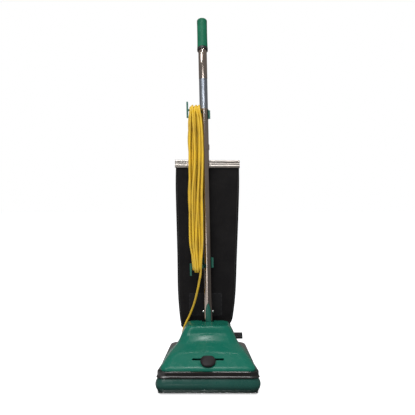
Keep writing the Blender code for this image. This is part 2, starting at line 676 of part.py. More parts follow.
def duct_ring(share, wall):
    """Section of the elbow: square at share 0, round and facing up at share 1, straight above that."""
    bend = min(share, 1.0)
    turn = bend * math.pi / 2
    reach = DUCT_Y - DUCT_START
    middle_z = DUCT_LOW + DUCT_HALF
    rise = max(share - 1.0, 0.0) * (DUCT_TOP - middle_z - reach)
    ring = []
    for i in range(24):
        angle = 2 * math.pi * (i + 0.5) / 24
        round_x, round_z = math.cos(angle), math.sin(angle)
        square = 1 / max(abs(round_x), abs(round_z))
        square_x = square * (OUTLET_HALF + CHAMBER_WALL - wall)
        x = round_x * (square_x * (1 - bend) + (DUCT_RADIUS - wall) * bend)
        out = round_z * (square * (DUCT_HALF - wall) * (1 - bend) + (DUCT_RADIUS - wall) * bend)
        across = reach - out
        ring.append((
            OUTLET_X + (DUCT_X - OUTLET_X) * bend + x,
            DUCT_START + across * math.sin(turn),
            middle_z + reach - across * math.cos(turn) + rise,
        ))
    return ring


duct_shares = (0.0, 0.2, 0.4, 0.6, 0.8, 1.0, 2.0)
duct_outside = [duct_ring(share, 0.0) for share in duct_shares]
duct_inside = [duct_ring(share, DUCT_WALL) for share in reversed(duct_shares)]
loft("exhaust_duct", duct_outside + duct_inside, BLACK, loop=True)

# ---- motor hood -----------------------------------------------------------------------------------------
LIP_Z = DECK_Z + GAP
SLOPE_LOW = (-0.1560, 0.0810)  # y and z of the foot of the sloping front face
SLOPE_HIGH = (-0.1100, 0.1145)
HOOD_RINGS = (
    # front, back, front half width, back half width, corner, front z, back z
    (-0.1598, 0.1500, 0.1485, 0.1272, 0.0240, LIP_Z, LIP_Z),
    (-0.1598, 0.1500, 0.1485, 0.1272, 0.0240, LIP_Z + 0.0050, LIP_Z + 0.0280),
    (SLOPE_LOW[0], 0.1460, 0.1440, 0.1230, 0.0220, SLOPE_LOW[1], 0.1045),
    (SLOPE_HIGH[0], 0.1130, 0.1200, 0.1010, 0.0250, SLOPE_HIGH[1], 0.1100),
    (-0.0340, 0.1080, 0.0905, 0.0890, 0.0280, 0.1470, 0.1430),
    (-0.0160, 0.1040, 0.0800, 0.0775, 0.0260, 0.1650, 0.1680),
    (-0.0060, 0.1010, 0.0665, 0.0660, 0.0220, HOOD_TOP - 0.0050, HOOD_TOP - 0.0050),
    (0.0020, 0.0950, 0.0545, 0.0560, 0.0160, HOOD_TOP, HOOD_TOP),
)


def hood_ring(row, wall):
    """One outline of the hood, drawn in by the wall; the lip keeps its height."""
    front, back, front_half, back_half, corner, front_z, back_z = row
    drop = wall if front_z > LIP_Z else 0.0
    return plan_ring(front + wall, back - wall, front_half - wall, back_half - wall, corner - wall / 2,
                     front_z - drop, back_z - drop)


hood_rings = [hood_ring(row, WALL) for row in reversed(HOOD_RINGS)]
hood_rings += [hood_ring(row, 0.0) for row in HOOD_RINGS]
motor_hood = loft("motor_hood", hood_rings, GREEN)

# The slope frame lies in the sloping front face: X across, Y up the slope, Z out of the face.
slope_angle = math.atan2(SLOPE_HIGH[1] - SLOPE_LOW[1], SLOPE_HIGH[0] - SLOPE_LOW[0])
SLOT_UP = 0.0330  # of the foot of the slope
SLOT_HALF = 0.0490
SLOT_HEIGHT = 0.0085
slot_place = Matrix.Translation((
    0,
    SLOPE_LOW[0] + SLOT_UP * math.cos(slope_angle),
    SLOPE_LOW[1] + SLOT_UP * math.sin(slope_angle),
)) @ Matrix.Rotation(slope_angle, 4, "X")


def on_slope(piece):
    piece.matrix_world = slot_place
    return piece


DECK_SLIP = 0.0008
NECK_INNER = DUCT_RADIUS + GAP
NECK_WALL = 0.0030
NECK_HOLE = NECK_INNER + NECK_WALL + 0.0042
RELIEF_X = -0.0860
RELIEF_Y = 0.1260
RELIEF_RADIUS = 0.0058
HANDLE_SLOT_HALF = 0.0210
SWITCH_X = -0.1045
SWITCH_Y = 0.1190
SWITCH_HALF_X = 0.0075
SWITCH_HALF_Y = 0.0110
PEDAL_ARM = (0.0880, 0.0980)
cut(
    motor_hood,
    box("handle_slot", (-HANDLE_SLOT_HALF, 0.0680, 0.0500), (HANDLE_SLOT_HALF, 0.2000, 0.2500)),
    on_slope(box("knob_slot", (-SLOT_HALF, -SLOT_HEIGHT / 2, -0.0200),
                 (SLOT_HALF, SLOT_HEIGHT / 2, 0.0200))),
    turned("neck_hole", [(NECK_HOLE, 0.0900), (NECK_HOLE, 0.1250)], (DUCT_X, DUCT_Y)),
    turned("relief_hole", [(RELIEF_RADIUS + SLIP, 0.0900), (RELIEF_RADIUS + SLIP, 0.1300)],
           (RELIEF_X, RELIEF_Y)),
    box("pedal_hole", (PEDAL_ARM[0] - 0.0015, PEDAL_Y, 0.0930), (PEDAL_ARM[1] + 0.0015, 0.1440, 0.1300)),
    box("switch_hole", (SWITCH_X - SWITCH_HALF_X - DECK_SLIP, SWITCH_Y - SWITCH_HALF_Y - DECK_SLIP, 0.0950),
        (SWITCH_X + SWITCH_HALF_X + DECK_SLIP, SWITCH_Y + SWITCH_HALF_Y + DECK_SLIP, 0.1300)),
)

# ---- height knob, slide and front wheel carriage --------------------------------------------------------
KNOB_RADIUS = 0.0235
KNOB_HEIGHT = 0.0100
KNOB_DOWN = 0.0120  # the knob's middle lies this far below the slot
STEM_RADIUS = 0.0032
FINGER_X = 0.0400
FINGER_TOP = 0.0775
knob = turned("height_knob", [
    (KNOB_RADIUS - 0.0010, 0.0006),
    (KNOB_RADIUS, 0.0020),
    (KNOB_RADIUS, KNOB_HEIGHT - 0.0030),
    (KNOB_RADIUS - 0.0020, KNOB_HEIGHT - 0.0010),
    (KNOB_RADIUS - 0.0050, KNOB_HEIGHT),
], (0, -KNOB_DOWN), BLACK, steps=32)
cut(knob, box("knob_flat", (-0.05, 0.0060, -0.05), (0.05, 0.05, 0.05)))
on_slope(knob)
on_slope(bpy.data.objects["knob_flat"])
wedge_slope = CARRIAGE_TRAVEL / KNOB_TRAVEL
wedge = []
for x in (FINGER_X + KNOB_TRAVEL + 0.0060, FINGER_X - KNOB_TRAVEL - 0.0060):
    wedge.append((x, FINGER_TOP + 2 * GAP + wedge_slope * (x - FINGER_X)))
wedge = [(-0.0080, 0.0935), (wedge[0][0], 0.0935), wedge[0], wedge[1], (wedge[1][0], 0.0890),
         (-0.0080, 0.0890)]
height_slide = prism("height_slide", wedge, FRONT_AXLE_Y - 0.0015, FRONT_AXLE_Y + 0.0015, "Y", BLACK)
slope_wall = WALL * (math.sin(slope_angle) + math.cos(slope_angle))
join(
    height_slide,
    box("slide_tongue", (-0.0080, -0.1315, 0.0896), (0.0080, FRONT_AXLE_Y + 0.0010, 0.0926)),
    on_slope(box("slide_flange", (-0.0140, -0.0080, -slope_wall - 0.0036),
                 (0.0140, 0.0080, -slope_wall - 0.0008))),
    on_slope(turned("slide_stem", [(STEM_RADIUS, -slope_wall - 0.0020), (STEM_RADIUS, 0.0003)], (0, 0),
                    steps=16)),
)
LEG_OUTER = WELL_INNER + 0.0048
STUB_RADIUS = 0.0035
bar_low = BAR_FLOOR + CARRIAGE_TRAVEL + GAP
wheel_carriage = box("wheel_carriage", (-LEG_OUTER, FRONT_AXLE_Y - 0.0050, bar_low),
                     (LEG_OUTER, FRONT_AXLE_Y + 0.0050, bar_low + 0.0065), STEEL)
join(wheel_carriage, box("carriage_finger", (FINGER_X - 0.0015, FRONT_AXLE_Y - 0.0030, bar_low + 0.0050),
                         (FINGER_X + 0.0015, FRONT_AXLE_Y + 0.0030, FINGER_TOP)))
wheel_outer = FRONT_WHEEL_X + FRONT_WHEEL_WIDTH / 2
for side in (-1, 1):
    near, far = sorted((side * (WELL_INNER + SLIP), side * LEG_OUTER))
    start, end = sorted((side * (LEG_OUTER - 0.0010), side * (wheel_outer + 0.0025)))
    join(
        wheel_carriage,
        box(f"carriage_leg_{side}", (near, FRONT_AXLE_Y - 0.0050, FRONT_WHEEL_RADIUS - 0.0055),
            (far, FRONT_AXLE_Y + 0.0050, bar_low + 0.0010)),
        turned(f"carriage_stub_{side}", [(STUB_RADIUS, start), (STUB_RADIUS, end)],
               (FRONT_AXLE_Y, FRONT_WHEEL_RADIUS), axis="X", steps=16),
    )


def wheel(name, radius, width, bore, hub, x, y):
    """A wheel with a rounded tread, a thin web and a hub, turning about X and standing on the ground."""
    half = width / 2
    turned(name, [
        (bore, x - half),
        (hub, x - half),
        (hub, x - half + width * 0.15),
        (radius * 0.74, x - half + width * 0.15),
        (radius * 0.74, x - half),
        (radius * 0.95, x - half),
        (radius, x - half * 0.6),
        (radius, x + half * 0.6),
        (radius * 0.95, x + half),
        (radius * 0.74, x + half),
        (radius * 0.74, x + half - width * 0.15),
        (hub, x + half - width * 0.15),
        (hub, x + half),
        (bore, x + half),
    ], (y, radius), RUBBER, axis="X", steps=24, loop=True)


for side, name in ((-1, "left"), (1, "right")):
    wheel(f"front_wheel_{name}", FRONT_WHEEL_RADIUS, FRONT_WHEEL_WIDTH, STUB_RADIUS + GAP, 0.0080,
          side * FRONT_WHEEL_X, FRONT_AXLE_Y)
    wheel(f"rear_wheel_{name}", REAR_WHEEL_RADIUS, REAR_WHEEL_WIDTH, AXLE_RADIUS + GAP, 0.0110,
          side * REAR_WHEEL_X, REAR_AXLE_Y)
    near, far = sorted((side * (REAR_WELL_INNER - 0.0097), side * (AXLE_END - GAP)))
    turned(f"rear_axle_{name}", [(AXLE_RADIUS, near), (AXLE_RADIUS, far)],
           (REAR_AXLE_Y, REAR_WHEEL_RADIUS), STEEL,
           axis="X", steps=16)

# ---- release pedal and power switch ---------------------------------------------------------------------
TREAD = (0.0830, 0.1185)
rod_start = PEDAL_LUGS[0] - 0.0020
release_pedal = turned("release_pedal", [(AXLE_RADIUS, rod_start), (AXLE_RADIUS, PEDAL_ARM[1])],
                       (PEDAL_Y, PEDAL_Z), BLACK, axis="X", steps=16)
arm = [(PEDAL_Y - 0.0045, PEDAL_Z), (PEDAL_Y + 0.0045, PEDAL_Z - 0.0030), (PEDAL_Y + 0.0390, 0.1260),
       (PEDAL_Y + 0.0290, 0.1260)]
tread = [(0.1190, 0.1190), (0.1500, 0.1315), (0.1500, 0.1390), (0.1190, 0.1265)]
join(
    release_pedal,
    prism("pedal_arm", arm, *PEDAL_ARM, "X"),
    prism("pedal_tread", rounded(tread, 0.0020, 2), *TREAD, "X"),
)
SPRING_TURNS = 5
SPRING_WIRE = 0.0006
spring_start = PEDAL_LUGS[0] + PEDAL_LUG_THICK + GAP + SPRING_WIRE
spring_end = PEDAL_LUGS[1] - GAP - SPRING_WIRE
spring_points = []
for i in range(SPRING_TURNS * 12 + 1):
    angle = 2 * math.pi * i / 12
    share = i / (SPRING_TURNS * 12)
    reach = AXLE_RADIUS + GAP + SPRING_WIRE + 0.0004
    spring_points.append((
        spring_start + (spring_end - spring_start) * share,
        PEDAL_Y + reach * math.cos(angle),
        PEDAL_Z + reach * math.sin(angle),
    ))
wire("pedal_spring", spring_points, SPRING_WIRE, STEEL, sides=0)

SWITCH_PIVOT_Z = 0.0975
SWITCH_TILT = math.radians(8.5)
switch_body = box("switch_body", (SWITCH_X - SWITCH_HALF_X - 0.0035, SWITCH_Y - SWITCH_HALF_Y - 0.0030,
                                  0.0830),
                  (SWITCH_X + SWITCH_HALF_X + 0.0030, SWITCH_Y + SWITCH_HALF_Y + 0.0030, 0.1010), BLACK)
cut(switch_body, box("switch_space", (SWITCH_X - SWITCH_HALF_X - 0.0015, SWITCH_Y - SWITCH_HALF_Y - SLIP,
                                      0.0860),
                     (SWITCH_X + SWITCH_HALF_X + 0.0015, SWITCH_Y + SWITCH_HALF_Y + SLIP, 0.1500)))
rocker_half = SWITCH_HALF_X - 0.0015
rocker = [(-0.0045, -0.0090), (0.0045, -0.0090), (rocker_half, 0.0020), (rocker_half, 0.0120), (0, 0.0105),
          (-rocker_half, 0.0120), (-rocker_half, 0.0020)]
power_switch = prism("power_switch", rocker, SWITCH_Y - SWITCH_HALF_Y, SWITCH_Y + SWITCH_HALF_Y, "Y", BLACK)
power_switch.matrix_world = (
    Matrix.Translation((SWITCH_X, 0, SWITCH_PIVOT_Z)) @ Matrix.Rotation(-SWITCH_TILT, 4, "Y")
)

# ---- handle ---------------------------------------------------------------------------------------------
turned("handle_pin", [
    (PIN_RADIUS + 0.0020, -LUG_INSIDE - LUG_THICK - GAP - 0.0020),
    (PIN_RADIUS + 0.0020, -LUG_INSIDE - LUG_THICK - GAP),
    (PIN_RADIUS, -LUG_INSIDE - LUG_THICK - GAP),
    (PIN_RADIUS, LUG_INSIDE + LUG_THICK + 0.0020),
], (PIVOT_Y, PIVOT_Z), STEEL, axis="X", steps=24)
handle_frame = bpy.data.objects.new("handle_frame", None)
bpy.context.scene.collection.objects.link(handle_frame)
handle_frame.location = (0, PIVOT_Y, LEAN_Z)
handle_frame.rotation_euler = (0, -LEAN, 0)
TUBE_AXIS = (0, PIVOT_Y)
TUBE_STEPS = 28
TUBE_INNER = TUBE_RADIUS - TUBE_WALL
COLLAR_RADIUS = TUBE_RADIUS + COLLAR_WALL
GRIP_RADIUS = TUBE_RADIUS + GRIP_WALL
SPIGOT_RADIUS = TUBE_INNER - GAP


def stem_ring(half_x, half_y, corner, z):
    """A section of the handle post, whose middle follows the lean of the tubes."""
    middle = (LEAN_Z - z) * math.tan(LEAN) if z > PIVOT_Z + BARREL_RADIUS else 0.0
    return plan_ring(PIVOT_Y - half_y, PIVOT_Y + half_y, half_x, half_x, corner, z, z, middle)


handle_post = loft("handle_post", [
    stem_ring(0.0140, 0.0090, 0.0060, PIVOT_Z),
    stem_ring(0.0135, 0.0110, 0.0070, PIVOT_Z + 0.0300),
    stem_ring(0.0135, 0.0130, 0.0100, PIVOT_Z + 0.0600),
    stem_ring(TUBE_RADIUS, TUBE_RADIUS, 0.0142, TUBE_BOTTOM - 0.0150),
    stem_ring(TUBE_RADIUS, TUBE_RADIUS, 0.0142, TUBE_BOTTOM - 0.0008),
], GREEN)
post_barrel = turned("post_barrel", [(BARREL_RADIUS, -BARREL_HALF), (BARREL_RADIUS, BARREL_HALF)],
                     (PIVOT_Y, PIVOT_Z), axis="X", steps=32)
post_spigot = turned("post_spigot", [(SPIGOT_RADIUS, TUBE_BOTTOM - 0.0100),
                                     (SPIGOT_RADIUS, FORK_TOP + 0.0120)],
                     TUBE_AXIS, steps=TUBE_STEPS)
BOLT_RADIUS = 0.0030
bolt_hole = turned("bolt_hole", [(BOLT_RADIUS + GAP, -0.03), (BOLT_RADIUS + GAP, 0.03)], (PIVOT_Y, BOLT_Z),
                   axis="X", steps=16)
join(handle_post, post_barrel, post_spigot)
cut(handle_post, bolt_hole, turned("pin_hole", [(PIN_RADIUS + GAP, -0.04), (PIN_RADIUS + GAP, 0.04)],
                                   (PIVOT_Y, PIVOT_Z), axis="X", steps=24))
head_start = TUBE_RADIUS + GAP
handle_bolt = turned("handle_bolt", [
    (0.0052, -head_start - 0.0040),
    (0.0052, -head_start),
    (BOLT_RADIUS, -head_start),
    (BOLT_RADIUS, head_start),
    (0.0052, head_start),
    (0.0052, head_start + 0.0040),
], (PIVOT_Y, BOLT_Z), STEEL, axis="X", steps=12)
lower_tube = turned("lower_tube", ring_profile(TUBE_INNER, TUBE_RADIUS, TUBE_BOTTOM, COUPLING_BOTTOM),
                    TUBE_AXIS,
                    CHROME, steps=TUBE_STEPS, loop=True)
fork_outline = [(-FORK_HALF, TUBE_BOTTOM - 0.02), (FORK_HALF, TUBE_BOTTOM - 0.02),
                (FORK_HALF, FORK_TOP - 0.0260),
                (FORK_HALF * 0.55, FORK_TOP - 0.0080), (0, FORK_TOP), (-FORK_HALF * 0.55, FORK_TOP - 0.0080),
                (-FORK_HALF, FORK_TOP - 0.0260)]
fork_cut = prism("fork_cut", fork_outline, PIVOT_Y - 0.03, PIVOT_Y + 0.03, "Y")
cut(lower_tube, fork_cut, bolt_hole)
coupling_inner = SPIGOT_RADIUS - 0.0012
handle_coupling = turned("handle_coupling", [
    (coupling_inner, COUPLING_BOTTOM - SPIGOT),
    (SPIGOT_RADIUS, COUPLING_BOTTOM - SPIGOT),
    (SPIGOT_RADIUS, COUPLING_BOTTOM + GAP),
    (COUPLING_RADIUS, COUPLING_BOTTOM + GAP),
    (COUPLING_RADIUS, COUPLING_TOP - GAP),
    (SPIGOT_RADIUS, COUPLING_TOP - GAP),
    (SPIGOT_RADIUS, COUPLING_TOP + SPIGOT),
    (coupling_inner, COUPLING_TOP + SPIGOT),
], TUBE_AXIS, ZINC, steps=TUBE_STEPS, loop=True)


def bent_ring(radius, along, steps=TUBE_STEPS):
    """A round section about the upper tube's axis: upright, then an arc, then straight and tilted back."""
    straight = BEND_Z - COUPLING_TOP
    turn = min(max(along - straight, 0) / BEND_RADIUS, GRIP_TILT)
    rest = max(along - straight - BEND_RADIUS * GRIP_TILT, 0)
    y = PIVOT_Y + BEND_RADIUS * (1 - math.cos(turn)) + rest * math.sin(turn)
    z = COUPLING_TOP + min(along, straight) + BEND_RADIUS * math.sin(turn) + rest * math.cos(turn)
    ring = []
    for i in range(steps):
        angle = 2 * math.pi * i / steps
        side, out = radius * math.cos(angle), radius * math.sin(angle)
        ring.append((side, y + out * math.cos(turn), z - out * math.sin(turn)))
    return ring


arc_end = BEND_Z - COUPLING_TOP + BEND_RADIUS * GRIP_TILT
COLLAR_START = arc_end + 0.0080
GRIP_START = COLLAR_START + COLLAR_LENGTH + GAP
GRIP_END = GRIP_START + GRIP_LENGTH
tube_end = GRIP_END - 0.0080
tube_stations = [0.0, BEND_Z - COUPLING_TOP]
tube_stations += [BEND_Z - COUPLING_TOP + BEND_RADIUS * GRIP_TILT * (i + 1) / 6 for i in range(6)]
tube_stations.append(tube_end)
tube_rings = [bent_ring(TUBE_RADIUS, s) for s in tube_stations]
tube_rings += [bent_ring(TUBE_INNER, s) for s in reversed(tube_stations)]
upper_tube = loft("upper_tube", tube_rings, CHROME, loop=True)
collar_rings = []
for radius, along in ((TUBE_RADIUS + GAP, COLLAR_START), (COLLAR_RADIUS - 0.0010, COLLAR_START),
                      (COLLAR_RADIUS, COLLAR_START + 0.0015),
                      (COLLAR_RADIUS, COLLAR_START + COLLAR_LENGTH - 0.0010),
                      (COLLAR_RADIUS - 0.0010, COLLAR_START + COLLAR_LENGTH),
                      (TUBE_RADIUS + GAP, COLLAR_START + COLLAR_LENGTH)):
    collar_rings.append(bent_ring(radius, along))
grip_collar = loft("grip_collar", collar_rings, BLACK, loop=True)
grip_rings = []
for radius, along in (
    (TUBE_RADIUS + GAP, tube_end + GAP),
    (TUBE_RADIUS + GAP, GRIP_START),
    (GRIP_RADIUS - 0.0010, GRIP_START),
    (GRIP_RADIUS, GRIP_START + 0.0020),
    (GRIP_RADIUS, GRIP_END - 0.0080),
    (GRIP_RADIUS * 0.92, GRIP_END - 0.0035),
    (GRIP_RADIUS * 0.72, GRIP_END - 0.0008),
    (GRIP_RADIUS * 0.45, GRIP_END),
):
    grip_rings.append(bent_ring(radius, along))
grip = loft("grip", grip_rings, GRIP_GREEN)

# ---- cord hooks, hank, tail and plug --------------------------------------------------------------------
BAND_OUTER = TUBE_RADIUS + GAP + BAND_WALL
ARM_Y = PIVOT_Y - TUBE_RADIUS - ARM_FORWARD
ARM_HIGH = 0.0070
FINGER_HALF = 0.0030


def cord_hook(name, arm_z, finger_low, finger_high, band_low, band_high):
    """A band round the tube with a forward block, an arm to the left, a finger and a clamping tab."""
    band = turned(name, ring_profile(TUBE_RADIUS + GAP, BAND_OUTER, band_low, band_high), TUBE_AXIS, GREEN,
                  steps=TUBE_STEPS, loop=True)
    low, high = arm_z - ARM_HIGH / 2, arm_z + ARM_HIGH / 2
    tools = [
        box(f"{name}_block", (-0.0055, ARM_Y - ARM_THICK / 2, low),
            (0.0055, PIVOT_Y - TUBE_RADIUS - 0.0010, high)),
        box(f"{name}_arm", (-HOOK_REACH, ARM_Y - ARM_THICK / 2, low), (0.0050, ARM_Y + ARM_THICK / 2, high)),
        box(f"{name}_finger", (-HOOK_REACH - FINGER_HALF, ARM_Y - 0.0040, finger_low),
            (-HOOK_REACH + FINGER_HALF, ARM_Y + 0.0040, finger_high)),
        box(f"{name}_tab", (TUBE_RADIUS + 0.0010, PIVOT_Y - 0.0040, band_low + 0.0005),
            (TUBE_RADIUS + 0.0070, PIVOT_Y + 0.0040, band_high - 0.0030)),
    ]
    join(band, *tools)
    tunnel = box(f"{name}_tunnel", (-HOOK_REACH - 0.02, ARM_Y - ARM_THICK / 2 - SLIP, low - SLIP),
                 (0.02, ARM_Y + ARM_THICK / 2 + SLIP, high + SLIP))
    hang_on(handle_frame, band, tunnel, *tools)
    return tunnel


upper_tunnel = cord_hook("upper_cord_hook", UPPER_ARM_Z, 0.8710, 0.9250, 0.8700, 0.9020)
lower_tunnel = cord_hook("lower_cord_hook", LOWER_ARM_Z, 0.3430, 0.3840, 0.3660, 0.4020)
HANK_BACK = PIVOT_Y - TUBE_RADIUS - 0.0013
HANK_FRONT = HANK_BACK - 0.0392
hank_outline = [
    (-0.0510, 0.3640), (-0.0460, 0.3560), (-0.0360, 0.3520), (-0.0250, 0.3525), (-0.0175, 0.3600),
    (-0.0155, 0.3750), (-0.0150, 0.4500), (-0.0155, 0.6000), (-0.0175, 0.7800), (-0.0215, 0.8800),
    (-0.0270, 0.9060), (-0.0380, 0.9140), (-0.0500, 0.9140), (-0.0610, 0.9050), (-0.0650, 0.8800),
    (-0.0690, 0.7800), (-0.0705, 0.6000), (-0.0660, 0.4500), (-0.0585, 0.3950), (-0.0530, 0.3800),
]
cord_hank = prism("cord_hank", hank_outline, HANK_FRONT, HANK_BACK, "Y", CORD)
cut(cord_hank, upper_tunnel, lower_tunnel)
RELIEF_TOP = 0.1370
turned("strain_relief", [
    (RELIEF_RADIUS + 0.0018, 0.0960),
    (RELIEF_RADIUS + 0.0018, 0.1005),
    (RELIEF_RADIUS, 0.1005),
    (RELIEF_RADIUS, 0.1110),
    (RELIEF_RADIUS + 0.0018, 0.1110),
    (RELIEF_RADIUS + 0.0018, 0.1140),
    (RELIEF_RADIUS, 0.1150),
    (CORD_RADIUS + 0.0010, RELIEF_TOP),
], (RELIEF_X, RELIEF_Y), RUBBER, steps=16)
TAIL_ROUTE = [Vector(point) for point in (
    (RELIEF_X, RELIEF_Y, RELIEF_TOP + 4 * GAP),
    (-0.0857, 0.1252, 0.1430),
    (-0.0828, 0.1205, 0.1560),
    (-0.0750, 0.1165, 0.1760),
    (-0.0625, 0.1110, 0.2030),
    (-0.0500, 0.1035, 0.2350),
    (-0.0410, 0.0930, 0.2660),
    (-0.0340, 0.0800, 0.2970),
    (-0.0290, 0.0670, 0.3240),
    (-0.0258, 0.0560, 0.3490),
)]
wire("cord_tail", smooth_route(TAIL_ROUTE, CORD_RADIUS * 4), CORD_RADIUS, CORD, sides=2)
PLUG_X = -0.0520
PLUG_Z = (0.6000, 0.6420)
plug_front = HANK_BACK + GAP
plug = loft("plug", [
    plan_ring(plug_front, plug_front + 0.0250, 0.0140, 0.0140, 0.0060, PLUG_Z[0], PLUG_Z[0], PLUG_X),
    plan_ring(plug_front, plug_front + 0.0250, 0.0140, 0.0140, 0.0060, PLUG_Z[0] + 0.024,
              PLUG_Z[0] + 0.024, PLUG_X),
    plan_ring(plug_front + 0.0060, plug_front + 0.0190, 0.0065, 0.0065, 0.0055, PLUG_Z[1], PLUG_Z[1],
              PLUG_X),
], BLACK)
blade_y = plug_front + 0.0125
for side in (-1, 1):
    join(plug, box(f"plug_blade_{side}", (PLUG_X + side * 0.0063 - 0.0008, blade_y - 0.0060,
                                          PLUG_Z[0] - 0.0170),
                   (PLUG_X + side * 0.0063 + 0.0008, blade_y + 0.0003, PLUG_Z[0] + 0.0010)))
join(plug, turned("plug_ground", [(0.0024, PLUG_Z[0] - 0.0200), (0.0024, PLUG_Z[0] + 0.0010)],
                  (PLUG_X, blade_y + 0.0080), steps=12))

# ---- bag and what holds it ------------------------------------------------------------------------------
HEM_HALF = HEM_THICK / 2
TUBE_BACK = PIVOT_Y + TUBE_RADIUS
BAG_RINGS = (
    # height, front, back, half width, middle x, corner
    (BAG_BOTTOM, TUBE_BACK + 0.0185, 0.1640, 0.0820, -0.0060, 0.0120),
    (0.1850, TUBE_BACK + 0.0130, 0.1700, 0.0885, -0.0055, 0.0120),
    (0.2830, TUBE_BACK + 0.0045, 0.1740, 0.0965, -0.0035, 0.0120),
    (0.4200, TUBE_BACK + 0.0033, 0.1745, 0.0985, -0.0025, 0.0120),
    (0.5800, TUBE_BACK + 0.0035, 0.1690, 0.1030, -0.0020, 0.0110),
    (0.6650, TUBE_BACK + 0.0055, 0.1520, 0.1075, -0.0018, 0.0090),
    (0.6950, TUBE_BACK + 0.0110, 0.1350, 0.1085, -0.0018, 0.0040),
    (BAR_BOTTOM - 0.0020, BAR_Y - HEM_HALF, BAR_Y + HEM_HALF, 0.1085, -0.0018, 0.0020),
    (BAG_TOP, BAR_Y - HEM_HALF, BAR_Y + HEM_HALF, 0.1085, -0.0018, 0.0020),
)
loft("bag", [plan_ring(front, back, half, half, corner, z, z, middle)
             for z, front, back, half, middle, corner in BAG_RINGS], CLOTH)
BAR_MIDDLE = -0.0022
bag_bar = box("bag_bar", (BAR_MIDDLE - BAR_HALF, BAR_Y - BAR_DEPTH / 2, BAR_BOTTOM),
              (BAR_MIDDLE + BAR_HALF, BAR_Y + BAR_DEPTH / 2, BAR_BOTTOM + BAR_HEIGHT), CHROME, bevel=0.0020)
cut(bag_bar, box("hem_slot", (-0.2, BAR_Y - HEM_HALF - SLIP, 0.6),
                 (0.2, BAR_Y + HEM_HALF + SLIP, BAG_TOP + SLIP)))
PRONG_Z = 0.7740
bag_hook = turned("bag_hook", ring_profile(TUBE_RADIUS + GAP, BAND_OUTER, PRONG_Z - 0.0090,
                                           PRONG_Z + 0.0090),
                  TUBE_AXIS, ZINC, steps=TUBE_STEPS, loop=True)
hook_tools = [
    box("hook_prong", (-0.0040, PIVOT_Y + TUBE_RADIUS + 0.0010, PRONG_Z - 0.0015),
        (0.0040, BAR_Y + 0.0060, PRONG_Z + 0.0015)),
    box("hook_tip", (-0.0040, BAR_Y + 0.0040, PRONG_Z - 0.0015), (0.0040, BAR_Y + 0.0060, PRONG_Z + 0.0080)),
]
join(bag_hook, *hook_tools)
HANG_WIRE = 0.0008
hang_points = []
hang_low = BAR_BOTTOM + BAR_HEIGHT + GAP + HANG_WIRE
hang_high = PRONG_Z - 0.0015 - GAP - HANG_WIRE
for i in range(8 * 8 + 1):
    angle = 2 * math.pi * i / 8
    hang_points.append((
        0.0040 * math.cos(angle),
        BAR_Y - 0.0020 + 0.0040 * math.sin(angle),
        hang_low + (hang_high - hang_low) * i / 64,
    ))
bag_spring = wire("bag_spring", hang_points, HANG_WIRE, STEEL, sides=0)
hang_on(handle_frame, post_spigot, bolt_hole, handle_bolt, lower_tube, fork_cut, handle_coupling, upper_tube,
        grip_collar, grip, bag_hook, *hook_tools, bag_spring)

neck_rings = []
for out in (NECK_WALL, 0.0):
    stations = [(NECK_INNER, DUCT_Y, 0.1125), (NECK_INNER, DUCT_Y, DUCT_TOP + 0.0020),
                (NECK_INNER + 0.0010, DUCT_Y + 0.0040, 0.1400),
                (NECK_INNER + 0.0020, DUCT_Y + 0.0100, BAG_BOTTOM - GAP)]
    for radius, y, z in stations if out else reversed(stations):
        neck_rings.append(circle(radius + out, z, 32, (DUCT_X, y)))
loft("bag_neck", neck_rings, CLOTH, loop=True)
turned("bag_clamp", ring_profile(NECK_INNER + NECK_WALL + GAP, NECK_INNER + NECK_WALL + 0.0018, 0.1165,
                                 0.1230),
       (DUCT_X, DUCT_Y), STEEL, steps=32, loop=True)
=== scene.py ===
"""Upright commercial vacuum cleaner: the finish of every piece, laid over the frame it was built on."""

import json
import math

import bmesh
import bpy
import numpy as np
from mathutils import Matrix, Vector

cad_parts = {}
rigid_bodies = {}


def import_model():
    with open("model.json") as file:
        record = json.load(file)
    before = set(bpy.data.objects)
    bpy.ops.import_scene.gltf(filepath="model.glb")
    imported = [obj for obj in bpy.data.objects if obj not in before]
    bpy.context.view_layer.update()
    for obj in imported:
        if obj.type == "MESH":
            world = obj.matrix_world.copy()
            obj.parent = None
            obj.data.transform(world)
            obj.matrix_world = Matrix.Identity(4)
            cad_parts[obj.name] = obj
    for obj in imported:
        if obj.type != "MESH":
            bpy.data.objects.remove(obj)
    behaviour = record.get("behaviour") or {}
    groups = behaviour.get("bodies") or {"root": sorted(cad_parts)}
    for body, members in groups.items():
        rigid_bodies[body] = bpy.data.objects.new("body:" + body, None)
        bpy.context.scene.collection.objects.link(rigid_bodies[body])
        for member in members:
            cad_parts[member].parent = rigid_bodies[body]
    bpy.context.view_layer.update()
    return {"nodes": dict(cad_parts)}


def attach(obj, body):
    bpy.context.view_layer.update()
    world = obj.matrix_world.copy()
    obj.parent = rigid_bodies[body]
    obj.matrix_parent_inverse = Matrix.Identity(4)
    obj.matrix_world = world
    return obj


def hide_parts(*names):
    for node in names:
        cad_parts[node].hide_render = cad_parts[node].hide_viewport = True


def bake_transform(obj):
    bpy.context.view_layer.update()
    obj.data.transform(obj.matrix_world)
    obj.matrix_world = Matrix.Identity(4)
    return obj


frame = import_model()

# ---- studio --------------------------------------------------------------------------------------
# A level camera at bench height and a seamless white floor. A large soft box stands high on the left, a
# fill that no gloss shows on the right, two small ones overhead, a strip near the front for the line on
# the guard and a low one for the tubes. The room is dim in reflections, as behind a set.
CAMERA_AWAY = 2.455
CAMERA_HEIGHT = 0.57
LENS = 65.2

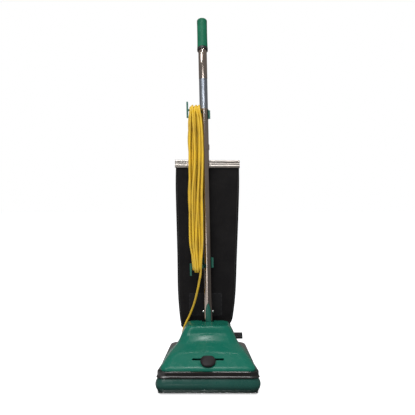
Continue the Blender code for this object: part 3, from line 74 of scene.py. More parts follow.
camera = bpy.data.objects.new("studio_camera", bpy.data.cameras.new("studio_camera"))
camera.data.lens = LENS
camera.data.sensor_width = 36.0
camera.data.shift_x = -0.0012
camera.location = (0, -CAMERA_AWAY, CAMERA_HEIGHT)
camera.rotation_euler = (math.pi / 2, 0, 0)
bpy.context.scene.collection.objects.link(camera)
bpy.context.scene.camera = camera
bpy.context.scene.view_settings.view_transform = "Standard"


def soft_box(name, power, width, height, place, target):
    """A rectangular lamp at place, turned to face target."""
    lamp = bpy.data.lights.new(name, "AREA")
    lamp.shape = "RECTANGLE"
    lamp.size, lamp.size_y, lamp.energy = width, height, power
    box = bpy.data.objects.new(name, lamp)
    box.location = place
    box.rotation_euler = (Vector(target) - Vector(place)).to_track_quat("-Z", "Y").to_euler()
    bpy.context.scene.collection.objects.link(box)


soft_box("key_box", 47, 1.5, 1.6, (-1.5, -1.9, 2.80), (0, 0, 0.5))
soft_box("fill_box", 19, 0.8, 1.2, (1.9, -1.6, 2.6), (0, 0, 0.5))
soft_box("top_box", 13, 0.18, 0.18, (-0.07, -0.70, 2.70), (0, -0.03, 0.15))
soft_box("back_box", 5, 0.90, 0.10, (-0.10, 0.72, 2.75), (0, -0.11, 0.12))
soft_box("brow_strip", 2.2, 0.60, 0.14, (-0.03, -0.85, 1.110), (0, -0.17, 0.052))
soft_box("low_box", 2.4, 1.1, 0.36, (-0.70, -2.3, 0.24), (0, 0, 0.30))
bpy.data.objects["fill_box"].visible_glossy = False

world = bpy.data.worlds.new("studio_world")
bpy.context.scene.world = world
world.use_nodes = True
nodes, links = world.node_tree.nodes, world.node_tree.links
nodes.clear()


def even_light(colour, strength):
    """A plain background of one colour and strength."""
    made = nodes.new("ShaderNodeBackground")
    made.inputs["Color"].default_value = (*colour, 1)
    made.inputs["Strength"].default_value = strength
    return made.outputs["Background"]


rays = nodes.new("ShaderNodeLightPath")
by_glance = nodes.new("ShaderNodeMixShader")
by_eye = nodes.new("ShaderNodeMixShader")
output = nodes.new("ShaderNodeOutputWorld")
links.new(rays.outputs["Is Glossy Ray"], by_glance.inputs["Fac"])
links.new(even_light((0.95, 0.97, 1.0), 0.50), by_glance.inputs[1])
links.new(even_light((1.0, 0.96, 0.92), 0.24), by_glance.inputs[2])
links.new(rays.outputs["Is Camera Ray"], by_eye.inputs["Fac"])
links.new(by_glance.outputs["Shader"], by_eye.inputs[1])
links.new(even_light((1, 1, 1), 1.0), by_eye.inputs[2])
links.new(by_eye.outputs["Shader"], output.inputs["Surface"])

floor_mesh = bpy.data.meshes.new("studio_floor")
floor_mesh.from_pydata([(-60, -6, 0), (60, -6, 0), (60, 90, 0), (-60, 90, 0)], [], [(0, 1, 2, 3)])
studio_floor = bpy.data.objects.new("studio_floor", floor_mesh)
bpy.context.scene.collection.objects.link(studio_floor)
floor_paint = bpy.data.materials.new("studio_floor")
floor_paint.use_nodes = True
nodes, links = floor_paint.node_tree.nodes, floor_paint.node_tree.links
shader = nodes["Principled BSDF"]
shader.inputs["Base Color"].default_value = (0.80, 0.80, 0.80, 1)
shader.inputs["Roughness"].default_value = 0.6
shader.inputs["Specular IOR Level"].default_value = 0.1
rays = nodes.new("ShaderNodeLightPath")
glow = nodes.new("ShaderNodeEmission")
glow.inputs["Strength"].default_value = 0.65
lift = nodes.new("ShaderNodeAddShader")
choose = nodes.new("ShaderNodeMixShader")
links.new(shader.outputs["BSDF"], lift.inputs[0])
links.new(glow.outputs["Emission"], lift.inputs[1])
links.new(rays.outputs["Is Camera Ray"], choose.inputs["Fac"])
links.new(shader.outputs["BSDF"], choose.inputs[1])
links.new(lift.outputs["Shader"], choose.inputs[2])

# What the bright metal sees of the floor is a painted glow: dark but for one pale band at the left,
# painted in as an emission where the large soft box's light would fall, so the tubes reflect it.
PAINTED_BAND_MIDDLE = -1.10
dim = nodes.new("ShaderNodeEmission")
split = nodes.new("ShaderNodeSeparateXYZ")
links.new(nodes.new("ShaderNodeNewGeometry").outputs["Position"], split.inputs["Vector"])
shifted = nodes.new("ShaderNodeMath")
shifted.inputs[1].default_value = -PAINTED_BAND_MIDDLE
aside = nodes.new("ShaderNodeMath")
aside.operation = "ABSOLUTE"
links.new(split.outputs["X"], shifted.inputs[0])
links.new(shifted.outputs["Value"], aside.inputs[0])
# The band's painted light: strong near its middle, faint away from it.
bright = nodes.new("ShaderNodeMapRange")
for socket, number in (("From Min", 0.70), ("From Max", 0.90), ("To Min", 0.80), ("To Max", 0.10)):
    bright.inputs[socket].default_value = number
links.new(aside.outputs["Value"], bright.inputs["Value"])
links.new(bright.outputs["Result"], dim.inputs["Strength"])
by_glance = nodes.new("ShaderNodeMixShader")
links.new(rays.outputs["Is Glossy Ray"], by_glance.inputs["Fac"])
links.new(choose.outputs["Shader"], by_glance.inputs[1])
links.new(dim.outputs["Emission"], by_glance.inputs[2])
links.new(by_glance.outputs["Shader"], nodes["Material Output"].inputs["Surface"])
studio_floor.data.materials.append(floor_paint)

# ---- lower housing -------------------------------------------------------------------------------
# One moulding of dark green ABS, 325 mm wide at the front, that everything else is screwed to. Its nose
# bulges under the furniture guard and tucks in at the foot; it is scuffed by skirting boards, and its foot
# is coloured darker as painted shade.
NOZZLE_FRONT, NOZZLE_BACK = -0.1730, 0.1520
NOZZLE_HALF = 0.1649
REAR_HALF = 0.1418
NOZZLE_CORNER = 0.0320
FOOT_DROP = 0.0060  # the nose's lower edge hangs this far below its floor
FOOT_BELOW, FOOT_REACH = 0.0097, 0.014  # the height under which, and how far in, the edge is taken
WALL_SPAN = (0.0094, 0.0481)  # the heights between which the outer wall is reshaped
WALL_REACH = 0.0028
NOSE_LOOPS = (0.0120, 0.0185, 0.0225, 0.0300, 0.0345, 0.0390, 0.0425, 0.0465)
# How far the wall stands inside the outline, by height: as it was built, and as it is wanted.
WALL_STOOD = ([0.0095, 0.0155, 0.0255, 0.0450, 0.0480], [0.0060, 0.0010, 0.0000, 0.0010, 0.0030])
WALL_STANDS = (
    [0.0095, 0.0120, 0.0155, 0.0185, 0.0225, 0.0255, 0.0300, 0.0345, 0.0390, 0.0425, 0.0465, 0.0480],
    [0.0088, 0.0056, 0.0030, 0.0017, 0.0006, 0.0001, 0.0002, 0.0011, 0.0027, 0.0045, 0.0066, 0.0078],
)


def new_finish(name, colour, roughness, metallic=0.0):
    """A material whose shader holds these plain values; returns it with its tree and its shader."""
    material = bpy.data.materials.new(name)
    material.use_nodes = True
    tree = material.node_tree
    shader = tree.nodes["Principled BSDF"]
    shader.inputs["Base Color"].default_value = (*colour, 1)
    shader.inputs["Roughness"].default_value = roughness
    shader.inputs["Metallic"].default_value = metallic
    return material, tree, shader


def place(tree, stretch=(1, 1, 1), source="Object"):
    """The piece's own coordinates, multiplied by the stretch for a pattern that runs one way."""
    where = tree.nodes.new("ShaderNodeTexCoord")
    mapping = tree.nodes.new("ShaderNodeMapping")
    mapping.inputs["Scale"].default_value = stretch
    tree.links.new(where.outputs[source], mapping.inputs["Vector"])
    return mapping.outputs["Vector"]


def speckle(tree, where, scale, detail=3.0, rough=0.5):
    """Noise of this many cells to the metre."""
    made = tree.nodes.new("ShaderNodeTexNoise")
    made.inputs["Scale"].default_value = scale
    made.inputs["Detail"].default_value = detail
    made.inputs["Roughness"].default_value = rough
    tree.links.new(where, made.inputs["Vector"])
    return made.outputs["Fac"]


def along_axis(tree, axis):
    """One of the piece's own coordinates, X, Y or Z."""
    split = tree.nodes.new("ShaderNodeSeparateXYZ")
    tree.links.new(place(tree), split.inputs["Vector"])
    return split.outputs[axis]


def ranged(tree, value, low, high, low_to, high_to):
    """The value's stretch from low to high carried to another stretch and held there."""
    made = tree.nodes.new("ShaderNodeMapRange")
    spans = {"From Min": low, "From Max": high, "To Min": low_to, "To Max": high_to}
    for socket, number in spans.items():
        made.inputs[socket].default_value = number
    tree.links.new(value, made.inputs["Value"])
    return made.outputs["Result"]


def sums(tree, kind, first, second):
    """One arithmetic step on two values, each a socket or a number."""
    made = tree.nodes.new("ShaderNodeMath")
    made.operation = kind
    for socket, value in zip(made.inputs, (first, second)):
        if isinstance(value, (int, float)):
            socket.default_value = value
        else:
            tree.links.new(value, socket)
    return made.outputs["Value"]


def tint(tree, factor, first, second):
    """A colour between two, by the factor; each is three numbers or a socket."""
    made = tree.nodes.new("ShaderNodeMix")
    made.data_type = "RGBA"
    tree.links.new(factor, made.inputs["Factor"])
    for socket, colour in (("A", first), ("B", second)):
        if isinstance(colour, tuple):
            made.inputs[socket].default_value = (*colour, 1)
        else:
            tree.links.new(colour, made.inputs[socket])
    return made.outputs["Result"]


def painted(tree, shader, factor, first, second):
    """The shader's colour laid between two by the factor."""
    tree.links.new(tint(tree, factor, first, second), shader.inputs["Base Color"])


def raised(tree, shader, height, depth, strength=1.0, under=None):
    """A bump of this depth in metres on the shader, laid over another bump if one is given."""
    made = tree.nodes.new("ShaderNodeBump")
    made.inputs["Strength"].default_value = strength
    made.inputs["Distance"].default_value = depth
    tree.links.new(height, made.inputs["Height"])
    if under is not None:
        tree.links.new(under, made.inputs["Normal"])
    tree.links.new(made.outputs["Normal"], shader.inputs["Normal"])
    return made.outputs["Normal"]


def moulded(name, colour, roughness, grain=0.00005, uneven=0.10, scuff=0.0, shine=0.5, wave=0.12):
    """Moulded plastic: a colour that drifts a little with the wall, gloss rubbed duller in patches, the
    fine grain of the mould, and, where scuff is set, thin pale scratches that run level."""
    material, tree, shader = new_finish(name, colour, roughness)
    where = place(tree)
    drift = ranged(tree, speckle(tree, where, 8, 3), 0.3, 0.7, 0, 1)
    darker, paler = (tuple(c * k for c in colour) for k in (1 - uneven, 1 + uneven))
    shade = tint(tree, drift, darker, paler)
    rubbed = speckle(tree, where, 34, 5, 0.6)
    gloss = ranged(tree, rubbed, 0.35, 0.7, roughness - 0.05, roughness + 0.10)
    if scuff:
        level = place(tree, (3, 3, 60))
        marks = ranged(tree, speckle(tree, level, 22, 6, 0.7), 0.66, 0.74, 0, scuff)
        patch = ranged(tree, speckle(tree, where, 11, 2), 0.45, 0.6, 0, 1)
        marks = sums(tree, "MULTIPLY", marks, patch)
        shade = tint(tree, marks, shade, tuple(min(1, c * 2.2 + 0.05) for c in colour))
        gloss = sums(tree, "ADD", gloss, sums(tree, "MULTIPLY", marks, 0.25))
    tree.links.new(shade, shader.inputs["Base Color"])
    tree.links.new(gloss, shader.inputs["Roughness"])
    shader.inputs["Specular IOR Level"].default_value = shine
    swell = raised(tree, shader, speckle(tree, where, 24, 2), 0.0006, wave)
    raised(tree, shader, speckle(tree, where, 1500, 2), grain, 0.5, swell)
    return material


def shade_painted_foot(material, full, none, colour):
    """Painted shade at the foot of a piece, darker towards the floor: all of it at the first height and
    none at the second.
    """
    tree = material.node_tree
    shader = tree.nodes["Principled BSDF"]
    foot_shade = ranged(tree, along_axis(tree, "Z"), full, none, 1, 0)
    painted(tree, shader, foot_shade, shader.inputs["Base Color"].links[0].from_socket, colour)


def fine_copy(node, material, edge=0.0005, segments=2, angle=32, loops=(), reshape=None):
    """A copy of a built piece with its corners merged, its flats made whole and its edges broken by a
    small round. Loops are heights at which it gets more points, for reshape to move."""
    source = frame["nodes"][node]
    work = bmesh.new()
    work.from_mesh(source.data)
    bmesh.ops.remove_doubles(work, verts=work.verts, dist=0.00002)
    bmesh.ops.dissolve_limit(work, angle_limit=math.radians(0.5), verts=work.verts, edges=work.edges)
    for height in loops:
        bmesh.ops.bisect_plane(work, geom=work.verts[:] + work.edges[:] + work.faces[:],
                               plane_co=(0, 0, height), plane_no=(0, 0, 1))
    mesh = bpy.data.meshes.new(f"{node}_finish")
    work.to_mesh(mesh)
    work.free()
    if reshape:
        points = np.empty(len(mesh.vertices) * 3, np.float32)
        mesh.vertices.foreach_get("co", points)
        mesh.vertices.foreach_set("co", reshape(points.reshape(-1, 3)).astype(np.float32).ravel())
    mesh.materials.append(material)
    mesh.shade_smooth()
    mesh.set_sharp_from_angle(angle=math.radians(angle))
    piece = bpy.data.objects.new(f"{node}_finish", mesh)
    bpy.context.scene.collection.objects.link(piece)
    if edge:
        bevel = piece.modifiers.new("broken_edges", "BEVEL")
        bevel.width, bevel.segments = edge, segments
        bevel.limit_method, bevel.angle_limit = "ANGLE", math.radians(angle)
        bevel.harden_normals = True
    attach(piece, source.parent.name.removeprefix("body:"))
    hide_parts(node)
    return piece


def outline(front, back, front_half, back_half, corner, edge=(36, 44, 36), arc=12):
    """A trapezoid with round corners seen from above, from the middle of its front edge round by its
    right side. Each straight stretch and each corner keeps its own number of points, so that outlines
    of other sizes line up. Sizes given as arrays give as many outlines, along the axes after the first."""
    lean = np.arctan2(front_half - back_half, back - front)
    near = front_half - corner * (1 + np.sin(lean)) / np.cos(lean)
    far = back_half - corner * (1 - np.sin(lean)) / np.cos(lean)
    first, second = np.linspace(-np.pi / 2 + 0 * lean, lean, arc), np.linspace(lean, np.pi / 2, arc)
    bend = np.stack([near + corner * np.cos(first), front + corner + corner * np.sin(first)], -1)
    rear = np.stack([far + corner * np.cos(second), back - corner + corner * np.sin(second)], -1)
    middle_front, middle_back = (np.stack([0 * lean, y + 0 * lean], -1) for y in (front, back))
    right = np.concatenate([
        np.linspace(middle_front, bend[0], edge[0], endpoint=False), bend[:-1],
        np.linspace(bend[-1], rear[0], edge[1], endpoint=False), rear[:-1],
        np.linspace(rear[-1], middle_back, edge[2]),
    ])
    return np.concatenate([right, right[-2:0:-1] * (-1, 1)])


def nozzle_outline(inset, **counts):
    """The housing's outline, drawn in."""
    return outline(NOZZLE_FRONT + inset, NOZZLE_BACK - inset, NOZZLE_HALF - inset, REAR_HALF - inset,
                   NOZZLE_CORNER - inset, **counts)


def round_nose(points):
    """The outer wall moved from its straight steps to a bulge: each point keeps its place along the
    outline and takes the depth inside it that the bulge has at its height."""
    rim = nozzle_outline(0.0, edge=(160, 260, 130), arc=60)
    along = np.roll(rim, -1, axis=0) - np.roll(rim, 1, axis=0)
    outward = np.stack([along[:, 1], -along[:, 0]], 1) / np.linalg.norm(along, axis=1)[:, None]
    apart = np.linalg.norm(points[:, None, :2] - rim[None], axis=2)
    nearest = apart.argmin(axis=1)
    depth = np.interp(points[:, 2], *WALL_STOOD)
    on_wall = np.abs(apart.min(axis=1) - depth) < WALL_REACH
    on_wall &= (points[:, 2] > WALL_SPAN[0]) & (points[:, 2] < WALL_SPAN[1])
    wanted = np.interp(points[:, 2], *WALL_STANDS)
    moved = rim[nearest] - outward[nearest] * wanted[:, None]
    points[on_wall, :2] = moved[on_wall]
    foot = (points[:, 2] < FOOT_BELOW) & (apart.min(axis=1) < FOOT_REACH)
    points[foot, 2] -= FOOT_DROP
    return points


housing_abs = moulded("housing_abs", (0.0090, 0.060, 0.047), 0.28, scuff=0.2, shine=0.36)
# Painted shade: the housing's foot is coloured darker towards the floor.
shade_painted_foot(housing_abs, full=0.012, none=0.026, colour=(0.004, 0.022, 0.018))
fine_copy("base_housing", housing_abs, edge=0.0008, segments=3, angle=38,
          loops=NOSE_LOOPS, reshape=round_nose)

# ---- bottom plate and latches --------------------------------------------------------------------
# A pressed plate of bright zinc-plated steel under the brush, held up at its back by two turn latches.
# Its front edge shows as a thin bright line under the nose.
LIP_START, LIP_RUN = -0.1500, 0.010  # the y from which it is drawn out, and how soon that is done
LIP_FORWARD = 0.0035
LIP_DOWN = 0.0022


def plated(name, colour, roughness, stretch=(1, 1, 1), lines=700, depth=0.00002, bloom=0.10):
    """Bright metal: a haze of handling over the plating, polishing lines along the stretch and faint
    pits."""
    material, tree, shader = new_finish(name, colour, roughness, 1.0)
    where = place(tree)
    haze = ranged(tree, speckle(tree, where, 14, 4), 0.35, 0.70, 0, 1)
    dull = tuple(c * (1 - bloom) for c in colour)
    painted(tree, shader, haze, colour, dull)
    drawn = speckle(tree, place(tree, stretch), lines, 3)
    gloss = ranged(tree, haze, 0, 1, roughness - 0.03, roughness + 0.06)
    gloss = sums(tree, "ADD", gloss, ranged(tree, drawn, 0.3, 0.7, -0.02, 0.04))
    tree.links.new(gloss, shader.inputs["Roughness"])
    raised(tree, shader, drawn, depth, 0.4)
    return material


def turned_lip(points):
    """The plate's front edge, drawn out to just under the nose and turned down a little."""
    ahead = np.clip((LIP_START - points[:, 1]) / LIP_RUN, 0, 1)
    points[:, 1] -= LIP_FORWARD * ahead
    points[:, 2] -= LIP_DOWN * ahead
    return points


plate_zinc = plated("plate_zinc", (0.78, 0.79, 0.78), 0.30, stretch=(1, 30, 30))
latch_zinc = plated("latch_zinc", (0.60, 0.62, 0.64), 0.42)
fine_copy("bottom_plate", plate_zinc, edge=0.0006, segments=3, reshape=turned_lip)
for side in ("left", "right"):
    fine_copy(f"plate_latch_{side}", latch_zinc, edge=0.0005)

# ---- brush roll ----------------------------------------------------------------------------------
# A turned beech roll on a steel shaft, with a belt groove in its middle. Two rows of black nylon tufts
# stand in spiral slots that run opposite ways, and a moulded cap closes each end.
BRUSH_AXIS = (-0.1300, 0.0310)  # y and z
BRUSH_TIP = 0.0262
TUFTS = 34
TUFT_BRISTLES = 16
TUFT_SPAN = (0.0155, 0.1280)  # the first and the last tuft of a row, off the roll's middle
TUFT_ROOT, TUFT_MIDDLE = 0.0135, 0.018  # radii
BLADE_ROOT, BLADE_TIP = 0.00034, 0.00020  # half the width of a bristle
TWIST = math.radians(150)
STRIP_START, STRIP_LENGTH = 0.0142, 0.1147
STRIP_HALF_ANGLE = math.radians(11)  # at the slot's floor
SLOT_FLOOR = 0.0130
STRIP_SECTION = np.array([
    # radius from the roll's axis, side of the slot
    (0.0133, -1), (0.0180, -1), (0.0186, 0), (0.0180, 1), (0.0133, 1),
])


def add_piece(name, vertices, faces, body, material, smooth=True, angle=40):
    """An object made of these points and faces, riding on a body of the frame."""
    mesh = bpy.data.meshes.new(name)
    faces = faces if isinstance(faces, list) else faces.tolist()
    mesh.from_pydata(np.asarray(vertices).reshape(-1, 3).tolist(), [], faces)
    mesh.validate()
    mesh.materials.append(material)
    if smooth:
        mesh.shade_smooth()
        mesh.set_sharp_from_angle(angle=math.radians(angle))
    piece = bpy.data.objects.new(name, mesh)
    bpy.context.scene.collection.objects.link(piece)
    if body:
        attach(piece, body)
    return piece


def grid_faces(rows, columns, wrap_rows=False, wrap_columns=False):
    """The four-sided faces of a grid of points, joined end to start where a way wraps."""
    r = np.arange(rows if wrap_rows else rows - 1)[:, None]
    c = np.arange(columns if wrap_columns else columns - 1)[None, :]
    r1, c1 = (r + 1) % rows, (c + 1) % columns
    corners = [r * columns + c, r * columns + c1, r1 * columns + c1, r1 * columns + c]
    return np.stack(corners, -1).reshape(-1, 4)


def closed_tube(points):
    """The faces of a tube of rings with a flat cap on each end."""
    rows, columns = np.shape(points)[:2]
    faces = grid_faces(rows, columns, wrap_columns=True).tolist()
    faces.append(list(range(columns))[::-1])
    faces.append(list(range((rows - 1) * columns, rows * columns)))
    return faces


def turned_over(faces):
    """The same faces looking the other way."""
    return [face[::-1] for face in faces]


def varnished_beech():
    """Beech turned along its length: fleck and grain stretched along the roll under a worn varnish."""
    material, tree, shader = new_finish("varnished_beech", (0.45, 0.28, 0.14), 0.45)
    grain = speckle(tree, place(tree, (0.12, 1, 1)), 420, 4, 0.6)
    fleck = ranged(tree, grain, 0.3, 0.7, 0, 1)
    painted(tree, shader, fleck, (0.52, 0.33, 0.17), (0.33, 0.19, 0.09))
    gloss = ranged(tree, speckle(tree, place(tree), 40), 0.3, 0.7, 0.35, 0.6)
    tree.links.new(gloss, shader.inputs["Roughness"])
    raised(tree, shader, grain, 0.00008, 0.5)
    return material


beech = varnished_beech()
shaft_steel = plated("shaft_steel", (0.56, 0.56, 0.57), 0.28, stretch=(0.1, 4, 4))
black_moulding = moulded("black_moulding", (0.016, 0.016, 0.018), 0.42, uneven=0.2)
fine_copy("brush_core", beech, edge=0.0005, angle=28)
fine_copy("brush_shaft", shaft_steel, edge=0.0006)
for side in ("left", "right"):
    fine_copy(f"brush_end_cap_{side}", black_moulding, edge=0.0008, segments=3)

nylon, tree, shader = new_finish("tuft_nylon", (0.012, 0.012, 0.013), 0.38)
length_tint = ranged(tree, speckle(tree, place(tree), 900, 2), 0.35, 0.65, 0, 1)
painted(tree, shader, length_tint, (0.008, 0.008, 0.009), (0.045, 0.044, 0.042))
raised(tree, shader, length_tint, 0.00005, 0.4)


def tuft_row(side, start, seed):
    """Bristles in tufts along one spiral slot: each a four-sided blade from its root in the slot to a
    tip that leans a little any way. Returns the points, eight to a bristle, and the faces."""
    spread = np.random.default_rng(seed)
    share = np.repeat((np.arange(TUFTS) + 0.5) / TUFTS, TUFT_BRISTLES)
    first, last = TUFT_SPAN
    x = side * (first + (last - first) * share) + spread.normal(0, 0.0004, share.size)
    turn = start + TWIST * share + spread.normal(0, 0.035, share.size)
    lean_x, lean_turn = spread.normal(0, 0.0009, share.size), spread.normal(0, 0.045, share.size)
    tip = BRUSH_TIP - np.abs(spread.normal(0, 0.0004, share.size))
    corners = []
    for radius, half, more in ((TUFT_ROOT, BLADE_ROOT, 0.0), (tip, BLADE_TIP, 1.0)):
        angle = turn + more * lean_turn
        middle_x = x + more * lean_x
        for way_x, way_turn in ((-1, -1), (1, -1), (1, 1), (-1, 1)):
            swing = angle + way_turn * half / TUFT_MIDDLE
            corners.append(np.stack([
                middle_x + way_x * half,
                BRUSH_AXIS[0] + radius * np.cos(swing),
                BRUSH_AXIS[1] + radius * np.sin(swing),
            ], axis=1))
    points = np.stack(corners, 1)
    one = np.array([(0, 1, 5, 4), (1, 2, 6, 5), (2, 3, 7, 6), (3, 0, 4, 7), (4, 5, 6, 7), (3, 2, 1, 0)])
    faces = (np.arange(share.size)[:, None, None] * 8 + one[None]).reshape(-1, 4)
    return points.reshape(-1, 3), faces


def backing_strip(side, start):
    """The moulded strip that holds the tufts: its section carried along the same spiral."""
    share = np.linspace(0, 1, 40)[:, None]
    radius, edge = STRIP_SECTION.T[:, None, :]
    angle = start + TWIST * share + edge * STRIP_HALF_ANGLE * SLOT_FLOOR / radius
    x = np.broadcast_to(side * (STRIP_START + STRIP_LENGTH * share), angle.shape)
    y = BRUSH_AXIS[0] + radius * np.cos(angle)
    z = BRUSH_AXIS[1] + radius * np.sin(angle)
    return np.stack([x, y, z], axis=-1)


for letter, side, start, seed in (("a", -1, 0.0, 3), ("b", 1, math.pi, 4)):
    points, faces = tuft_row(side, start, seed)
    faces = faces[:, ::-1] if side > 0 else faces
    tufts = add_piece(f"bristle_tufts_{letter}", points, faces,
                      "brush_roll", nylon, smooth=False)
    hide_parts(f"bristle_strip_{letter}")
    strip = backing_strip(side, start)
    faces = closed_tube(strip) if side < 0 else turned_over(closed_tube(strip))
    add_piece(f"bristle_backing_{letter}", strip, faces, "brush_roll", black_moulding)

# ---- furniture guard -----------------------------------------------------------------------------
# A bumper of soft black vinyl, 20 mm high, pushed onto the ledge over the nose and along both sides. A
# bead runs along its foot, and the slope above the bead catches the light; the corners are rubbed dull
# on furniture.
GUARD_SECTION = np.array([
    # inset from the housing's outline, height
    (0.0121, 0.0484), (0.0085, 0.0483), (0.0066, 0.0484), (0.0050, 0.0487), (0.0040, 0.0493),
    (0.0036, 0.0502), (0.0036, 0.0510), (0.0040, 0.0518), (0.0061, 0.0548), (0.0066, 0.0556),
    (0.0068, 0.0566), (0.0068, 0.0590), (0.0068, 0.0620), (0.0068, 0.0650), (0.0069, 0.0672),
    (0.0073, 0.0684), (0.0082, 0.0689), (0.0121, 0.0689),
])
GUARD_END = 0.1090  # the y where it stops on both sides
GUARD_EDGE = (48, 64, 8)


def soft_vinyl(name, colour, roughness, bloom=0.16, grain=0.00009, shine=0.5):
    """Soft vinyl: a leathery mottle in fine relief, with a bloom of dust that dulls it in patches."""
    material, tree, shader = new_finish(name, colour, roughness)
    where = place(tree)
    dusty = ranged(tree, speckle(tree, where, 17, 5, 0.65), 0.50, 0.78, 0, 1)
    painted(tree, shader, dusty, colour, tuple(c * 1.6 + 0.003 for c in colour))
    tree.links.new(ranged(tree, dusty, 0, 1, roughness, roughness + bloom), shader.inputs["Roughness"])
    shader.inputs["Specular IOR Level"].default_value = shine
    raised(tree, shader, speckle(tree, where, 700, 3), grain, 0.5)
    return material


def closed_strip(points):
    """The faces of a strip whose section runs down the rows, with a flat cap on each end."""
    rows, columns = points.shape[:2]
    faces = grid_faces(rows, columns, wrap_rows=True).tolist()
    faces.append([r * columns for r in range(rows)])
    faces.append([r * columns + columns - 1 for r in range(rows)][::-1])
    return faces


def corner_rubbed(material, start, end, duller):
    """Wear that takes the gloss off both front corners, growing from the one distance off the middle to
    the other."""
    tree = material.node_tree
    gloss = tree.nodes["Principled BSDF"].inputs["Roughness"]
    off_middle = sums(tree, "ABSOLUTE", along_axis(tree, "X"), 0.0)
    wear = ranged(tree, off_middle, start, end, 0.0, duller)
    tree.links.new(sums(tree, "ADD", gloss.links[0].from_socket, wear), gloss)


vinyl = soft_vinyl("guard_vinyl", (0.0065, 0.0055, 0.0055), 0.11, bloom=0.05, grain=0.00002, shine=1.0)
corner_rubbed(vinyl, start=0.120, end=0.140, duller=0.30)
rim = nozzle_outline(0.0, edge=GUARD_EDGE)
half = len(rim) // 2
kept = np.flatnonzero(rim[:, 1] < GUARD_END)
order = np.concatenate([kept[kept > half], kept[kept <= half]])
inset, height = GUARD_SECTION.T
flat = nozzle_outline(inset, edge=GUARD_EDGE)[order]
guard_points = np.stack([flat[..., 0], flat[..., 1], height + 0 * flat[..., 0]], -1).swapaxes(0, 1)
guard = add_piece("furniture_guard_finish", guard_points, closed_strip(guard_points),
                  "base", vinyl, angle=18)
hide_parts("furniture_guard")

# ---- drive belt, motor and fans ------------------------------------------------------------------
# An upright series motor: a field of wound copper in a two-part black casing, an armature on a steel
# shaft in two ball bearings, two carbon brushes, a cooling fan above and the suction fan below in its
# own chamber. A round rubber belt with a quarter twist turns the brush roll.


def waves(tree, where, direction, scale, wobble=0.0, wobble_scale=1.0):
    """Even bands across one direction, bent by the wobble."""
    made = tree.nodes.new("ShaderNodeTexWave")
    made.bands_direction = direction
    made.inputs["Scale"].default_value = scale
    made.inputs["Distortion"].default_value = wobble
    made.inputs["Detail Scale"].default_value = wobble_scale
    tree.links.new(where, made.inputs["Vector"])
    return made.outputs["Fac"]


def wound_copper():
    """Enamelled wire in layers: close turns across the piece, warm where the enamel is thick."""
    material, tree, shader = new_finish("wound_copper", (0.60, 0.25, 0.12), 0.38, 0.9)
    turns = waves(tree, place(tree), "Z", 420, wobble=1.2, wobble_scale=2)
    warm = ranged(tree, speckle(tree, place(tree), 60, 3), 0.3, 0.7, 0, 1)
    painted(tree, shader, warm, (0.62, 0.24, 0.10), (0.42, 0.14, 0.05))
    raised(tree, shader, turns, 0.00025, 0.8)
    return material


def rubber(name, colour, roughness):
    """Matte rubber: chalky bloom in patches over a fine pebble."""
    material, tree, shader = new_finish(name, colour, roughness)
    where = place(tree)
    bloom = ranged(tree, speckle(tree, where, 30, 5, 0.7), 0.45, 0.75, 0, 1)
    painted(tree, shader, bloom, colour, tuple(c * 2.0 + 0.012 for c in colour))
    gloss = ranged(tree, bloom, 0, 1, roughness - 0.08, roughness + 0.1)
    tree.links.new(gloss, shader.inputs["Roughness"])
    raised(tree, shader, speckle(tree, where, 1100, 3), 0.00008, 0.6)
    return material


copper = wound_copper()
belt_rubber = rubber("belt_rubber", (0.020, 0.019, 0.018), 0.62)
bearing_steel = plated("bearing_steel", (0.66, 0.66, 0.67), 0.24)
carbon = rubber("carbon_block", (0.028, 0.028, 0.029), 0.50)
casing_moulding = moulded("casing_moulding", (0.020, 0.020, 0.021), 0.50, uneven=0.2)
fine_copy("drive_belt", belt_rubber, edge=0)
fine_copy("motor_shaft", shaft_steel, edge=0.0004)
fine_copy("motor_field", copper, edge=0.0012, segments=3)
fine_copy("armature", copper, edge=0.0010, segments=3)
for node in ("motor_casing", "motor_end_cap", "fan_chamber", "fan_chamber_cover"):
    fine_copy(node, casing_moulding, edge=0.0006)
for node in ("suction_fan", "cooling_fan"):
    fine_copy(node, black_moulding, edge=0.0004)
for node in ("bearing_lower", "bearing_upper"):
    fine_copy(node, bearing_steel, edge=0.0005)
for side in ("left", "right"):
    fine_copy(f"carbon_brush_{side}", carbon, edge=0.0004)
fine_copy("exhaust_duct", casing_moulding, edge=0.0005)

